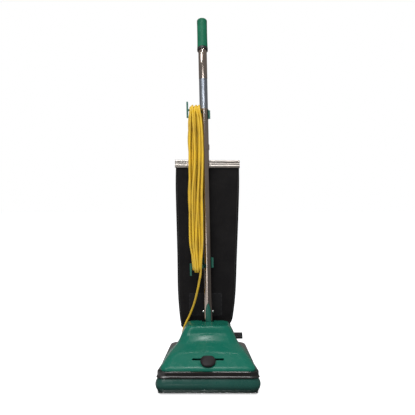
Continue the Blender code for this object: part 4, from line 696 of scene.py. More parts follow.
# ---- motor hood ----------------------------------------------------------------------------------
# One deep moulding of glossy green ABS, 2.6 mm thick. Its front slopes up from a lip, breaks at a soft
# crease into a low dome, dips into a shallow shelf and rises to a flat top. Holes let through the
# handle, the height knob, the bag's neck, the cord, the pedal and the switch.
HOOD_ROWS = np.array([
    # front, back, front half width, back half width, corner, front z, back z
    (-0.1598, 0.1500, 0.1485, 0.1272, 0.0240, 0.0693, 0.0693),
    (-0.1599, 0.1500, 0.1486, 0.1272, 0.0240, 0.0710, 0.0880),
    (-0.1596, 0.1497, 0.1484, 0.1269, 0.0240, 0.0735, 0.0965),
    (-0.1586, 0.1489, 0.1476, 0.1260, 0.0236, 0.0762, 0.1005),
    (-0.1566, 0.1472, 0.1458, 0.1240, 0.0230, 0.0792, 0.1035),
    (-0.1530, 0.1445, 0.1436, 0.1212, 0.0228, 0.0826, 0.1056),
    (-0.1460, 0.1400, 0.1398, 0.1170, 0.0230, 0.0878, 0.1070),
    (-0.1300, 0.1290, 0.1318, 0.1090, 0.0240, 0.0997, 0.1085),
    (-0.1160, 0.1172, 0.1240, 0.1035, 0.0250, 0.1100, 0.1096),
    (-0.1112, 0.1140, 0.1212, 0.1018, 0.0255, 0.1136, 0.1110),
    (-0.1070, 0.1125, 0.1190, 0.1008, 0.0260, 0.1158, 0.1135),
    (-0.1000, 0.1115, 0.1160, 0.0995, 0.0265, 0.1188, 0.1175),
    (-0.0820, 0.1100, 0.1082, 0.0958, 0.0272, 0.1250, 0.1250),
    (-0.0640, 0.1090, 0.1008, 0.0925, 0.0280, 0.1314, 0.1320),
    (-0.0555, 0.1083, 0.0972, 0.0905, 0.0280, 0.1352, 0.1360),
    (-0.0490, 0.1080, 0.0945, 0.0890, 0.0280, 0.1402, 0.1405),
    (-0.0420, 0.1078, 0.0915, 0.0873, 0.0280, 0.1472, 0.1474),
    (-0.0365, 0.1073, 0.0888, 0.0853, 0.0278, 0.1528, 0.1528),
    (-0.0342, 0.1062, 0.0862, 0.0832, 0.0272, 0.1580, 0.1580),
    (-0.0315, 0.1050, 0.0812, 0.0792, 0.0265, 0.1665, 0.1665),
    (-0.0288, 0.1035, 0.0752, 0.0738, 0.0250, 0.1758, 0.1758),
    (-0.0262, 0.1015, 0.0700, 0.0690, 0.0232, 0.1822, 0.1822),
    (-0.0243, 0.1000, 0.0672, 0.0664, 0.0224, 0.1850, 0.1850),
    (-0.0215, 0.0985, 0.0648, 0.0642, 0.0216, 0.1860, 0.1860),
    (-0.0140, 0.0960, 0.0606, 0.0602, 0.0198, 0.1867, 0.1867),
    (-0.0050, 0.0940, 0.0555, 0.0557, 0.0172, 0.1870, 0.1870),
])
HOOD_WALL = 0.0026
HOOD_EDGE = (30, 40, 30)  # points on half the front, a side and half the back
HOOD_ARC = 12  # points on a corner
LIP_HEIGHT = 0.0693
DOME_HALF = 0.086
DOME_CROWN = (  # how far the middle of the dome stands up, by height
    [0.1136, 0.1262, 0.1416, 0.1528, 0.1640],
    [0.0, 0.0040, 0.0078, 0.0082, 0.0],
)
SLOPE_FOOT = (-0.1560, 0.0810)  # y and z
SLOPE_ANGLE = math.atan2(0.1145 - 0.0810, 0.1560 - 0.1100)  # its rise over its run
SLOT_UP = 0.0330  # up the slope from its foot


def smooth_route(points, step):
    """Points about a step apart on the Catmull-Rom curve through the given ones, whose middle of each
    span is a cubic of the four nearest points."""
    p = np.asarray(points, float)
    p = np.vstack([2 * p[0] - p[1], p, 2 * p[-1] - p[-2]])
    t = np.linspace(0, 1, 24, endpoint=False)[None, :, None]
    a, b, c, d = (p[k : len(p) - 3 + k][:, None, :] for k in range(4))
    bent = (2 * a - 5 * b + 4 * c - d) * t**2
    fine = 0.5 * (2 * b + (c - a) * t + bent + (3 * b - a - 3 * c + d) * t**3)
    fine = np.vstack([fine.reshape(-1, p.shape[1]), p[-2]])
    along = np.concatenate([[0], np.cumsum(np.linalg.norm(np.diff(fine, axis=0), axis=1))])
    wanted = np.linspace(0, along[-1], max(2, round(along[-1] / step)) + 1)
    return np.stack([np.interp(wanted, along, column) for column in fine.T], axis=1)


def hood_outlines(rows, wall):
    """The hood's outline at each row of a table, with the height running evenly from front to back. The
    inner skin lies a wall's thickness lower, but not at the lip. The dome stands up over the front as a
    parabola across that fades by a ninth of the way back."""
    front, back, front_half, back_half, corner, front_z, back_z = np.moveaxis(rows, -1, 0)
    flat = outline(front + wall, back - wall, front_half - wall, back_half - wall,
                   np.maximum(corner - wall / 2, 0.004), edge=HOOD_EDGE, arc=HOOD_ARC)
    share = (flat[..., 1] - front - wall) / (back - front - 2 * wall)
    drop = wall * np.clip((front_z - LIP_HEIGHT) / 0.004, 0, 1)
    crown = np.interp(front_z, *DOME_CROWN) * np.clip(1 - (flat[..., 0] / DOME_HALF) ** 2, 0, 1)
    crown *= np.clip(1 - 9 * share, 0, 1)
    height = front_z + (back_z - front_z) * share - drop + crown
    return np.stack([flat[..., 0], flat[..., 1], height], axis=-1)


def solid_mesh(name, points, faces):
    """A plain object for cutting with, or to be cut."""
    mesh = bpy.data.meshes.new(name)
    faces = faces if isinstance(faces, list) else faces.tolist()
    mesh.from_pydata(np.asarray(points).reshape(-1, 3).tolist(), [], faces)
    work = bmesh.new()
    work.from_mesh(mesh)
    bmesh.ops.recalc_face_normals(work, faces=work.faces)
    work.to_mesh(mesh)
    work.free()
    made = bpy.data.objects.new(name, mesh)
    bpy.context.scene.collection.objects.link(made)
    return made


def block(name, low, high, turn=None):
    """A box between two corners, turned by a matrix if one is given."""
    spans = list(zip(low, high))
    corners = np.array([(x, y, z) for x in spans[0] for y in spans[1] for z in spans[2]])
    if turn is not None:
        corners = corners @ np.array(turn.to_3x3()).T + np.array(turn.translation)
    sides = [(0, 1, 3, 2), (4, 6, 7, 5), (0, 4, 5, 1), (2, 3, 7, 6), (0, 2, 6, 4), (1, 5, 7, 3)]
    return solid_mesh(name, corners, sides)


def upright(name, radius, low, high, x, y, sides=48):
    """A round bar standing on end."""
    angle = np.linspace(0, 2 * np.pi, sides, endpoint=False)
    ring = np.stack([x + radius * np.cos(angle), y + radius * np.sin(angle)], 1)
    points = np.stack([np.column_stack([ring, np.full(sides, z)]) for z in (low, high)])
    return solid_mesh(name, points, closed_tube(points))


def carved(body, cutters, added=()):
    """The mesh of body with the cutters taken out of it and the added ones joined to it; all of them
    are removed."""
    for tool in (*cutters, *added):
        step = body.modifiers.new("step", "BOOLEAN")
        step.object, step.solver = tool, "EXACT"
        step.operation = "UNION" if tool in added else "DIFFERENCE"
    bpy.context.view_layer.update()
    mesh = bpy.data.meshes.new_from_object(body.evaluated_get(bpy.context.evaluated_depsgraph_get()))
    for old in (body, *cutters, *added):
        bpy.data.objects.remove(old, do_unlink=True)
    return mesh


# The shell: the outer skin from the lip to the top, then the inner one back down. The flat top and its
# underside are one face each.
hood_levels = smooth_route(HOOD_ROWS, 0.0045)
shell_rings = np.concatenate([
    hood_outlines(hood_levels, 0.0), hood_outlines(hood_levels[::-1], HOOD_WALL),
], axis=1).swapaxes(0, 1)
levels, columns = shell_rings.shape[:2]
top = len(hood_levels)
faces = grid_faces(levels, columns, wrap_rows=True, wrap_columns=True)
between_tops = (faces // columns == top - 1).any(axis=1) & (faces // columns == top).any(axis=1)
faces = faces[~between_tops].tolist()
faces.append(list(range((top - 1) * columns, top * columns)))
faces.append(list(range(top * columns, (top + 1) * columns))[::-1])
slot_y = SLOPE_FOOT[0] + SLOT_UP * math.cos(SLOPE_ANGLE)
slot_z = SLOPE_FOOT[1] + SLOT_UP * math.sin(SLOPE_ANGLE)
slope_frame = Matrix.Translation((0, slot_y, slot_z)) @ Matrix.Rotation(SLOPE_ANGLE, 4, "X")
hood_mesh = carved(solid_mesh("hood_blank", shell_rings, faces), [
    block("handle_gap", (-0.0210, 0.0680, 0.0500), (0.0210, 0.2000, 0.2500)),
    block("knob_slot", (-0.0490, -0.00425, -0.0200), (0.0490, 0.00425, 0.0200), slope_frame),
    upright("neck_hole", radius=0.0235, low=0.0900, high=0.1250, x=-0.0500, y=0.1300),
    upright("relief_hole", radius=0.0061, low=0.0900, high=0.1300, x=-0.0860, y=0.1260),
    block("pedal_hole", (0.0865, 0.1000, 0.0930), (0.0995, 0.1440, 0.1300)),
    block("switch_hole", (-0.1128, 0.1072, 0.0950), (-0.0962, 0.1308, 0.1300)),
])
hood_abs = moulded("hood_abs", (0.0055, 0.117, 0.077), 0.25,
                   grain=0.00003, uneven=0.04, shine=0.22, wave=0.04)
hood_mesh.materials.clear()
hood_mesh.materials.append(hood_abs)
hood_mesh.shade_smooth()
hood_mesh.set_sharp_from_angle(angle=math.radians(38))
hood = bpy.data.objects.new("motor_hood_finish", hood_mesh)
bpy.context.scene.collection.objects.link(hood)
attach(hood, "base")
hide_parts("motor_hood")

# ---- side trims ----------------------------------------------------------------------------------
# The guard's two wings: strips of the same black vinyl, 1.2 mm proud, let into the hood's skirt. Each
# starts to a point at the front corner and rises with the skirt to the rear corner.
TRIM_THICK = 0.0012
TRIM_EDGE = 0.0002  # how proud its edges stand
TRIM_LET_IN = 0.0006
TRIM_SPAN = (36, 95)  # in the outline's points: from half round the front corner to past the rear one
TRIM_RISE = (0.35, 7.6)  # its height at the point and what it gains, in rows of the table


def skirt_points(levels, wanted):
    """Points of the hood's skirt and the ways out of it there: each column of the levels, which count in
    rows of the table, is taken at its own wanted point of the outline."""
    low = np.floor(levels).astype(int)
    share = (levels - low)[..., None]
    rings = hood_outlines(HOOD_ROWS[low] * (1 - share) + HOOD_ROWS[low + 1] * share, 0.0)
    along = np.roll(rings, -1, axis=0) - np.roll(rings, 1, axis=0)
    out = np.stack([along[..., 1], -along[..., 0], 0 * along[..., 2]], axis=-1)
    out /= np.linalg.norm(out, axis=-1, keepdims=True)
    return [field[wanted, :, np.arange(len(wanted))].swapaxes(0, 1) for field in (rings, out)]


rise = np.linspace(0, 1, 13)[:, None]
proud = TRIM_THICK * (1 - (2 * rise[..., None] - 1) ** 6) + TRIM_EDGE
for side, name in ((1, "right"), (-1, "left")):
    wanted = np.arange(*TRIM_SPAN)
    wanted = wanted if side > 0 else (columns - wanted)[::-1]
    stretch = np.linspace(0, 1, len(wanted)) if side > 0 else np.linspace(1, 0, len(wanted))
    tall = TRIM_RISE[0] + TRIM_RISE[1] * np.clip(stretch / 0.75, 0, 1) ** 0.8
    spot, out = skirt_points(rise * tall, wanted)
    wing = np.concatenate([spot + out * proud, (spot - out * TRIM_LET_IN)[::-1]])
    trim = solid_mesh(f"side_trim_{name}", wing, closed_strip(wing))
    trim.data.materials.append(vinyl)
    trim.data.shade_smooth()
    trim.data.set_sharp_from_angle(angle=math.radians(50))
    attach(trim, "base")

# ---- height knob, slide, carriage and wheels -----------------------------------------------------
# A round black knob, flat along its upper side, slides along the slot in the slope; a wedge on its slide
# bears on the front wheels' carriage and sets its height. The four wheels are ribbed black rubber, and
# the rear pair turn on steel axles.


def wheel_material():
    """Dull black rubber with fine ribs across it and dust in patches."""
    material, tree, shader = new_finish("wheel_rubber", (0.02, 0.02, 0.02), 0.5)
    where = place(tree)
    dust = ranged(tree, speckle(tree, where, 80, 4), 0.4, 0.7, 0, 1)
    painted(tree, shader, dust, (0.018, 0.018, 0.019), (0.050, 0.048, 0.045))
    tree.links.new(ranged(tree, dust, 0, 1, 0.45, 0.75), shader.inputs["Roughness"])
    grit = raised(tree, shader, speckle(tree, where, 700), 0.0001, 0.5)
    raised(tree, shader, waves(tree, where, "X", 160), 0.0003, 0.5, grit)
    return material


wheel_finish = wheel_material()
knob_finish = moulded("knob_plastic", (0.013, 0.010, 0.011), 0.42, uneven=0.2, shine=0.2)
slide_finish = moulded("slide_plastic", (0.018, 0.018, 0.019), 0.45, uneven=0.2)
fine_copy("height_knob", knob_finish, edge=0.0006, segments=3)
fine_copy("height_slide", slide_finish, edge=0.0004)
fine_copy("wheel_carriage", latch_zinc, edge=0.0005)
for node in ("front_wheel_left", "front_wheel_right", "rear_wheel_left", "rear_wheel_right"):
    fine_copy(node, wheel_finish, edge=0.0009, segments=3)
for side in ("left", "right"):
    fine_copy(f"rear_axle_{side}", shaft_steel, edge=0.0004)

# ---- release pedal, its spring and the switch ----------------------------------------------------
# A black foot pedal on the right, which pivots inside on a rod with a coil spring round it, and a
# rocker switch in its housing at the left of the hood's back. Both are satin mouldings.
pedal_finish = moulded("pedal_plastic", (0.013, 0.013, 0.014), 0.50, uneven=0.2, shine=0.25)
switch_finish = moulded("switch_plastic", (0.014, 0.014, 0.015), 0.32, uneven=0.2)
spring_steel = plated("spring_steel", (0.50, 0.50, 0.52), 0.30)
fine_copy("release_pedal", pedal_finish, edge=0.0012, segments=3)
fine_copy("pedal_spring", spring_steel, edge=0)
fine_copy("switch_body", switch_finish, edge=0.0005)
fine_copy("power_switch", switch_finish, edge=0.0006, segments=3)

# ---- handle post, pin and bolt -------------------------------------------------------------------
# The handle turns on a steel pin through two lugs of the housing. A green moulded post stands on the
# pin, and a bright bolt, rounded at both ends, clamps the notched foot of the lower tube to the post.
post_abs = moulded("post_abs", (0.0085, 0.110, 0.078), 0.30, grain=0.00003)
bolt_steel = plated("bolt_steel", (0.86, 0.86, 0.86), 0.16)
fine_copy("handle_pin", shaft_steel, edge=0.0005)
fine_copy("handle_post", post_abs, edge=0.0008)
fine_copy("handle_bolt", bolt_steel, edge=0.0012, segments=3)

# ---- lower tube, coupling and upper tube ---------------------------------------------------------
# Two lengths of chromed steel tube, 29 mm across and 1.2 mm thick, on the spigots of a zinc-plated
# coupling. The lower one has a pointed notch at its foot; the upper one bends back into the grip.
TUBE_RADIUS = 0.0145
STEM_START = (0.0, 0.0950, 1.0066)  # the coupling's top, on the tubes' axis before they lean
BEND_START = 0.0434  # along the upper tube, as are the bend's end and the tube's
BEND_END = 0.0914
STEM_END = 0.2220
BEND_RADIUS = 0.1100
BEND_ANGLE = math.radians(25)
# The tubes lean to the left in their post, about a point on their axis.
leaning = Matrix.Translation((0, 0.0950, 0.2500)) @ Matrix.Rotation(math.radians(-1.25), 4, "Y")
leaning = leaning @ Matrix.Translation((0, -0.0950, -0.2500))


def tube(line, radius, sides):
    """Points of a round tube: each station of the line carries a circle of this radius square to it.
    The circle is laid out from the x direction, less its share along the line."""
    line = np.asarray(line, float)
    radius = np.broadcast_to(np.asarray(radius, float), (len(line),))
    tangent = np.gradient(line, axis=0)
    tangent /= np.linalg.norm(tangent, axis=1)[:, None]
    first = np.array([1.0, 0.0, 0.0]) - tangent * tangent[:, :1]
    first /= np.linalg.norm(first, axis=1)[:, None]
    second = np.cross(tangent, first)
    angle = np.linspace(0, 2 * np.pi, sides, endpoint=False)
    ring = np.cos(angle)[None, :, None] * first[:, None]
    ring = ring + np.sin(angle)[None, :, None] * second[:, None]
    return line[:, None, :] + ring * radius[:, None, None]


def stem_line(along):
    """Points of the upper tube's axis: straight, then an arc of a circle, then straight on at the
    bend's angle."""
    along = np.asarray(along, float)
    turn = np.clip((along - BEND_START) / BEND_RADIUS, 0, BEND_ANGLE)
    rest = np.maximum(along - BEND_START - BEND_RADIUS * BEND_ANGLE, 0)
    y = BEND_RADIUS * (1 - np.cos(turn)) + rest * np.sin(turn)
    z = np.minimum(along, BEND_START) + BEND_RADIUS * np.sin(turn) + rest * np.cos(turn)
    return np.stack([0 * y, y, z], axis=1) + STEM_START


def leaned(points):
    """The points turned with the tubes, which lean 1.25 degrees to the left in their post."""
    return points @ np.array(leaning.to_3x3()).T + np.array(leaning.translation)


def chromed(name, colour, roughness):
    """Chrome over drawn tube: long faint draw marks up the tube, a bluish haze in patches and a few
    pits."""
    material, tree, shader = new_finish(name, colour, roughness, 1.0)
    where = place(tree)
    haze = ranged(tree, speckle(tree, where, 9, 5, 0.6), 0.42, 0.72, 0, 1)
    pits = ranged(tree, speckle(tree, where, 420, 2), 0.72, 0.78, 0, 0.45)
    shade = tint(tree, haze, colour, tuple(c * k for c, k in zip(colour, (0.80, 0.83, 0.86))))
    painted(tree, shader, pits, shade, (0.20, 0.17, 0.15))
    drawn = speckle(tree, place(tree, (1, 1, 0.02)), 900, 3)
    gloss = ranged(tree, haze, 0, 1, roughness, roughness + 0.07)
    gloss = sums(tree, "ADD", gloss, ranged(tree, drawn, 0.3, 0.7, -0.015, 0.02))
    gloss = sums(tree, "ADD", gloss, sums(tree, "MULTIPLY", pits, 0.4))
    tree.links.new(gloss, shader.inputs["Roughness"])
    raised(tree, shader, drawn, 0.000003, 0.3)
    return material


# Painted reflection: the tube chrome's warm brown-grey colour stands in for the brown room that the tubes
# reflect.
room_tinted_chrome = chromed("tube_chrome", (0.52, 0.44, 0.385), 0.13)
coupling_zinc = chromed("coupling_zinc", (0.42, 0.46, 0.52), 0.33)
fine_copy("lower_tube", room_tinted_chrome, edge=0.0003, angle=40)
fine_copy("handle_coupling", coupling_zinc, edge=0.0004, angle=40)
stations = [0.0, *np.linspace(BEND_START, BEND_END, 32), STEM_END]
upper_rings = leaned(tube(stem_line(stations), TUBE_RADIUS, 72))
upper = add_piece("upper_tube_finish", upper_rings, closed_tube(upper_rings),
                  "handle", room_tinted_chrome)
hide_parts("upper_tube")

# ---- grip and collar -----------------------------------------------------------------------------
# A sleeve of green rubber pushed onto the bent end, closed at its tip and a little fuller at both ends,
# with a black collar below it.
GRIP_RADIUS = 0.0172
GRIP_FLARE = 0.0006
GRIP_MIDDLE = 0.1700  # along the upper tube, as are the points that round the grip's two ends
GRIP_MOUTH = [0.1107, 0.1110, 0.1118, 0.1130]
GRIP_TIP = [0.2268, 0.2279, 0.2286, 0.2290]
MOUTH_ROUND = (0.0016, 0.0010, 0.0003, 0.0)  # what the radius loses at the mouth's four points
TIP_ROUND = (0.0004, 0.0012, 0.0024, 0.0044)
grip_rubber = soft_vinyl("grip_rubber", (0.0070, 0.100, 0.052), 0.50, shine=0.15)
collar_black = soft_vinyl("collar_black", (0.012, 0.012, 0.012), 0.4)
along = np.concatenate([GRIP_MOUTH, np.linspace(0.1150, 0.2250, 23), GRIP_TIP])
wide = np.full(len(along), GRIP_RADIUS) + GRIP_FLARE * np.abs((along - GRIP_MIDDLE) / 0.0600) ** 3
wide[:4] -= MOUTH_ROUND
wide[-4:] -= TIP_ROUND
grip_rings = leaned(tube(stem_line(along), wide, 64))
grip = add_piece("grip_finish", grip_rings, closed_tube(grip_rings),
                 "handle", grip_rubber)
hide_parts("grip")
fine_copy("grip_collar", collar_black, edge=0.0008, segments=3)

# ---- bag hook, spring and bar --------------------------------------------------------------------
# A plated band round the lower tube has a flat prong at its back, and a coil spring on the prong carries
# the bag's top bar: a folded channel of chromed sheet crimped over the bag's hem, with two pressed ribs.
BAR_SECTION = np.array([
    # y and height of the folded channel's outline: up its ribbed front, over its top, down its back,
    # and round the slot for the hem
    (0.1228, 0.7060), (0.1196, 0.7060), (0.1191, 0.7068), (0.1190, 0.7085), (0.1190, 0.7150),
    (0.1193, 0.7162), (0.1204, 0.7170), (0.1206, 0.7178), (0.1194, 0.7186), (0.1190, 0.7196),
    (0.1190, 0.7222), (0.1194, 0.7231), (0.1206, 0.7239), (0.1206, 0.7247), (0.1194, 0.7255),
    (0.1190, 0.7264), (0.1190, 0.7300), (0.1196, 0.7318), (0.1210, 0.7325), (0.1310, 0.7325),
    (0.1324, 0.7318), (0.1330, 0.7304), (0.1330, 0.7068), (0.1324, 0.7060), (0.1292, 0.7060),
    (0.1292, 0.7210), (0.1228, 0.7210),
])
BAR_STATIONS = np.array([-0.1132, -0.1130, *np.linspace(-0.1120, 0.1076, 24), 0.1086, 0.1088])  # x
BAR_MIDDLE = -0.0022
BAR_TILT = math.radians(0.4)
bar_chrome = chromed("bar_chrome", (0.66, 0.61, 0.56), 0.17)
fine_copy("bag_hook", room_tinted_chrome, edge=0.0004)
fine_copy("bag_spring", spring_steel, edge=0)
bar_points = np.zeros((len(BAR_STATIONS), len(BAR_SECTION), 3))
bar_points[..., 0] = BAR_STATIONS[:, None]
bar_points[..., 1:] = BAR_SECTION
bar_points[..., 2] -= (bar_points[..., 0] - BAR_MIDDLE) * math.tan(BAR_TILT)
bar = add_piece("bag_bar_finish", bar_points, turned_over(closed_tube(bar_points)),
                "handle", bar_chrome, angle=30)
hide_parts("bag_bar")

# ---- bag -----------------------------------------------------------------------------------------
# A shake-out bag of black twill, up to 217 mm wide and 61 mm deep, sewn as a flat tube. Its hem is
# crimped in the top bar and its foot is gathered onto the neck, so the cloth between hangs in shallow
# folds; piping is sewn down its two front edges and a plain patch is stitched low on its front.
BAG_ROWS = np.array([
    # height, front, back, half width, middle x, corner
    (0.1520, 0.1280, 0.1640, 0.0820, -0.0060, 0.0150),
    (0.1580, 0.1255, 0.1662, 0.0850, -0.0059, 0.0150),
    (0.1850, 0.1225, 0.1700, 0.0885, -0.0055, 0.0150),
    (0.2830, 0.1150, 0.1740, 0.0965, -0.0035, 0.0140),
    (0.4200, 0.1135, 0.1745, 0.0985, -0.0025, 0.0140),
    (0.5800, 0.1135, 0.1690, 0.1030, -0.0020, 0.0130),
    (0.6650, 0.1155, 0.1520, 0.1075, -0.0018, 0.0100),
    (0.6950, 0.1205, 0.1350, 0.1085, -0.0018, 0.0050),
    (0.7040, 0.1232, 0.1288, 0.1085, -0.0018, 0.0024),
    (0.7190, 0.1235, 0.1285, 0.1083, -0.0018, 0.0022),
])
BAG_EDGE = (20, 8, 20)
FOLD_LIMIT = 0.0065  # the folds stay within this of the cut shape
PATCH = (-0.0650, 0.0480, 0.1990, 0.2780)  # left, right, bottom, top
SEAM_IN = 0.0026  # the stitches run this far inside the patch's edge
STITCH = 0.01425  # from the start of one stitch to the next
HELD_BELOW, HELD_ABOVE = 0.1605, 0.7000  # heights
FRONT_LIMIT = 0.1112  # the least y that the cloth may take
PIPING_RADIUS = 0.0013


def bag_cloth():
    """Heavy black twill: a soft diagonal rib every 5 mm, lint in specks and a paler bloom of dust in
    patches. The patch is a shade paler, with a line of stitches inside its edge."""
    material, tree, shader = new_finish("bag_cloth", (0.0080, 0.0074, 0.0078), 0.85)
    where = place(tree, source="UV")
    rib = waves(tree, where, "DIAGONAL", 90, wobble=0.6)
    cross = speckle(tree, place(tree, (1, 0.15, 1), source="UV"), 1800, 2)
    dust = ranged(tree, speckle(tree, where, 12, 5, 0.65), 0.42, 0.75, 0, 1)
    lint = ranged(tree, speckle(tree, where, 420, 2), 0.715, 0.76, 0, 0.7)
    shade = tint(tree, dust, (0.0070, 0.0064, 0.0068), (0.0115, 0.0105, 0.0105))
    shade = tint(tree, lint, shade, (0.040, 0.038, 0.037))
    left, right, bottom, top = PATCH
    depths = []
    for axis, low, high in (("X", left, right), ("Z", bottom, top)):
        off_middle = sums(tree, "SUBTRACT", along_axis(tree, axis), (low + high) / 2)
        off_middle = sums(tree, "ABSOLUTE", off_middle, 0.0)
        depths.append(sums(tree, "SUBTRACT", (high - low) / 2, off_middle))
    depth_in = sums(tree, "MINIMUM", *depths)
    in_front = ranged(tree, along_axis(tree, "Y"), 0.128, 0.130, 1, 0)
    inside = sums(tree, "MULTIPLY", ranged(tree, depth_in, -0.0004, 0.0004, 0, 1), in_front)
    dash = waves(tree, where, "DIAGONAL", math.tau / (10 * STITCH))
    off_seam = sums(tree, "ABSOLUTE", sums(tree, "SUBTRACT", depth_in, SEAM_IN), 0.0)
    seam = sums(tree, "MULTIPLY", ranged(tree, off_seam, 0.0003, 0.0007, 1, 0), in_front)
    thread = sums(tree, "MULTIPLY", seam, ranged(tree, dash, 0.25, 0.4, 0, 1))
    shade = tint(tree, sums(tree, "MULTIPLY", inside, 0.5), shade, (0.017, 0.017, 0.018))
    painted(tree, shader, sums(tree, "MULTIPLY", thread, 0.8), shade, (0.045, 0.045, 0.047))
    shader.inputs["Sheen Weight"].default_value = 0.02
    shader.inputs["Sheen Roughness"].default_value = 0.5
    shader.inputs["Specular IOR Level"].default_value = 0.12
    weave = raised(tree, shader, sums(tree, "ADD", rib, cross), 0.00016, 0.5)
    weave = raised(tree, shader, sums(tree, "SUBTRACT", inside, seam), 0.0006, 0.8, weave)
    raised(tree, shader, speckle(tree, where, 46, 3), 0.0012, 0.18, weave)
    return material


def bag_rings(rows):
    """The outline of the bag at each row of the table."""
    height, front, back, half, middle, corner = rows.T
    ring = outline(front, back, half, half, corner, edge=BAG_EDGE, arc=7)
    x = ring[..., 0] + middle
    return np.stack([x, ring[..., 1], height + 0 * x], axis=-1).swapaxes(0, 1)


def hung_cloth(rings):
    """The rings after the cloth has hung: it is cut 3 percent larger than the shape it is held to,
    pinned at the hem and the foot, kept open by a little air, and settled. No point moves more than the
    fold limit."""
    rows, across = rings.shape[:2]
    blank = solid_mesh("bag_blank", rings, grid_faces(rows, across, wrap_columns=True))
    pins = blank.vertex_groups.new(name="held")
    heights = rings.reshape(-1, 3)[:, 2]
    held = np.flatnonzero((heights < HELD_BELOW) | (heights >= HELD_ABOVE))
    pins.add(held.tolist(), 1.0, "REPLACE")
    settle = blank.modifiers.new("settle", "CLOTH")
    settle.settings.quality = 6
    settle.settings.mass = 0.35
    settle.settings.tension_stiffness = settle.settings.compression_stiffness = 40
    settle.settings.shear_stiffness = 12
    settle.settings.bending_stiffness = 0.35
    settle.settings.shrink_min = -0.030
    settle.settings.vertex_group_mass = "held"
    settle.settings.use_pressure = True
    settle.settings.uniform_pressure_force = 0.35
    settle.settings.air_damping = 3.0
    settle.collision_settings.use_collision = False
    settle.point_cache.frame_start, settle.point_cache.frame_end = 1, 30
    for moment in range(1, 27):
        bpy.context.scene.frame_set(moment)
    settled = blank.evaluated_get(bpy.context.evaluated_depsgraph_get()).to_mesh()
    points = np.empty(len(settled.vertices) * 3, np.float32)
    settled.vertices.foreach_get("co", points)
    bpy.context.scene.frame_set(1)
    bpy.data.objects.remove(blank, do_unlink=True)
    moved = points.reshape(rings.shape) - rings
    size = np.linalg.norm(moved, axis=2, keepdims=True)
    moved *= FOLD_LIMIT * np.tanh(size / FOLD_LIMIT) / np.maximum(size, 1e-9)
    return rings + moved


bag_shape = bag_rings(smooth_route(BAG_ROWS, 0.0078))
bag_shape = hung_cloth(bag_shape)
# The cloth stays behind the tube and the spring: its front is held back, a little more in the middle.
near_tube = np.exp(-((bag_shape[..., 0] / 0.030) ** 2))
bag_shape[..., 1] = np.maximum(bag_shape[..., 1], FRONT_LIMIT + 0.0012 * near_tube)
rows, across = bag_shape.shape[:2]
bag = add_piece("bag_finish", bag_shape, closed_tube(bag_shape),
                "handle", bag_cloth(), angle=70)
# The cloth's pattern is laid in metres: round the bag by the length of its middle row, up it by height.
steps = np.linalg.norm(np.diff(bag_shape[rows // 2], axis=0), axis=1)
round_bag = np.concatenate([[0], np.cumsum(steps)])
round_bag = np.append(round_bag, round_bag[-1] + (round_bag[1] - round_bag[0]))
layer = bag.data.uv_layers.new(name="UVMap")
quads = (rows - 1) * across
column = np.tile(np.arange(across), rows - 1)
row = np.repeat(np.arange(rows - 1), across)
height_at = bag_shape[:, :, 2].mean(axis=1)
corner_u = round_bag[np.stack([column, column + 1, column + 1, column], axis=1)]
corner_v = height_at[np.stack([row, row, row + 1, row + 1], axis=1)]
flat_uv = np.zeros((len(bag.data.loops), 2), np.float32)
flat_uv[: quads * 4] = np.stack([corner_u, corner_v], -1).reshape(-1, 2)
layer.data.foreach_set("uv", flat_uv.ravel())
smoothing = bag.modifiers.new("soft_folds", "SUBSURF")
smoothing.levels = smoothing.render_levels = 1
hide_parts("bag")

piping_cloth = soft_vinyl("piping_cloth", (0.013, 0.013, 0.013), 0.5)
for side, column in (("right", BAG_EDGE[0] + 3), ("left", across - BAG_EDGE[0] - 3)):
    line = smooth_route(bag_shape[2:-3, column], 0.0060)
    inward = np.sign(line[:, 0] + 0.002)
    line = line + np.stack([inward * 0.0002, np.full(len(line), -0.0002), np.zeros(len(line))], 1)
    angle = np.linspace(0, 2 * np.pi, 10, endpoint=False)
    ring = np.stack([PIPING_RADIUS * np.cos(angle), PIPING_RADIUS * np.sin(angle), 0 * angle], 1)
    cord_in_seam = line[:, None, :] + ring[None]
    add_piece(f"bag_piping_{side}", cord_in_seam, closed_tube(cord_in_seam),
              "handle", piping_cloth)

# ---- bag neck and clamp --------------------------------------------------------------------------
# A sleeve of the bag's cloth, gathered round the exhaust duct under a steel band.
NECK_ROWS = np.array([
    # radius, y, height
    (0.0193, 0.1300, 0.1126), (0.0192, 0.1300, 0.1160), (0.0190, 0.1300, 0.1200),
    (0.0191, 0.1300, 0.1240), (0.0196, 0.1303, 0.1280), (0.0202, 0.1320, 0.1340),
    (0.0206, 0.1345, 0.1400), (0.0210, 0.1375, 0.1460), (0.0213, 0.1400, 0.1517),
])
NECK_X = -0.0500
NECK_WALL = 0.0022
PLEATS, PLEAT_DEPTH, PLEATS_FROM = 15, 0.0009, 0.1235  # the last is a height
neck_levels = smooth_route(NECK_ROWS, 0.0020)


def neck_skin(wall):
    """One skin of the neck: circles whose radius dips in pleats, which start above the clamp."""
    radius, y, height = neck_levels.T[:, :, None]
    angle = np.linspace(0, 2 * np.pi, 120, endpoint=False)
    deep = PLEAT_DEPTH * np.clip((height - PLEATS_FROM) / 0.008, 0, 1)
    reach = radius - wall - deep * (0.5 + 0.5 * np.cos(PLEATS * angle + 0.6 * np.sin(3 * angle)))
    x, y = NECK_X + reach * np.cos(angle), y + reach * np.sin(angle)
    return np.stack([x, y, height + 0 * x], axis=-1)


neck_rings = np.concatenate([neck_skin(0.0), neck_skin(NECK_WALL)[::-1]])
neck_faces = grid_faces(*neck_rings.shape[:2], wrap_rows=True, wrap_columns=True)
bag_neck = add_piece("bag_neck_finish", neck_rings, neck_faces, None, piping_cloth)
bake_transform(bag_neck)
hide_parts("bag_neck")
fine_copy("bag_clamp", spring_steel, edge=0.0004)

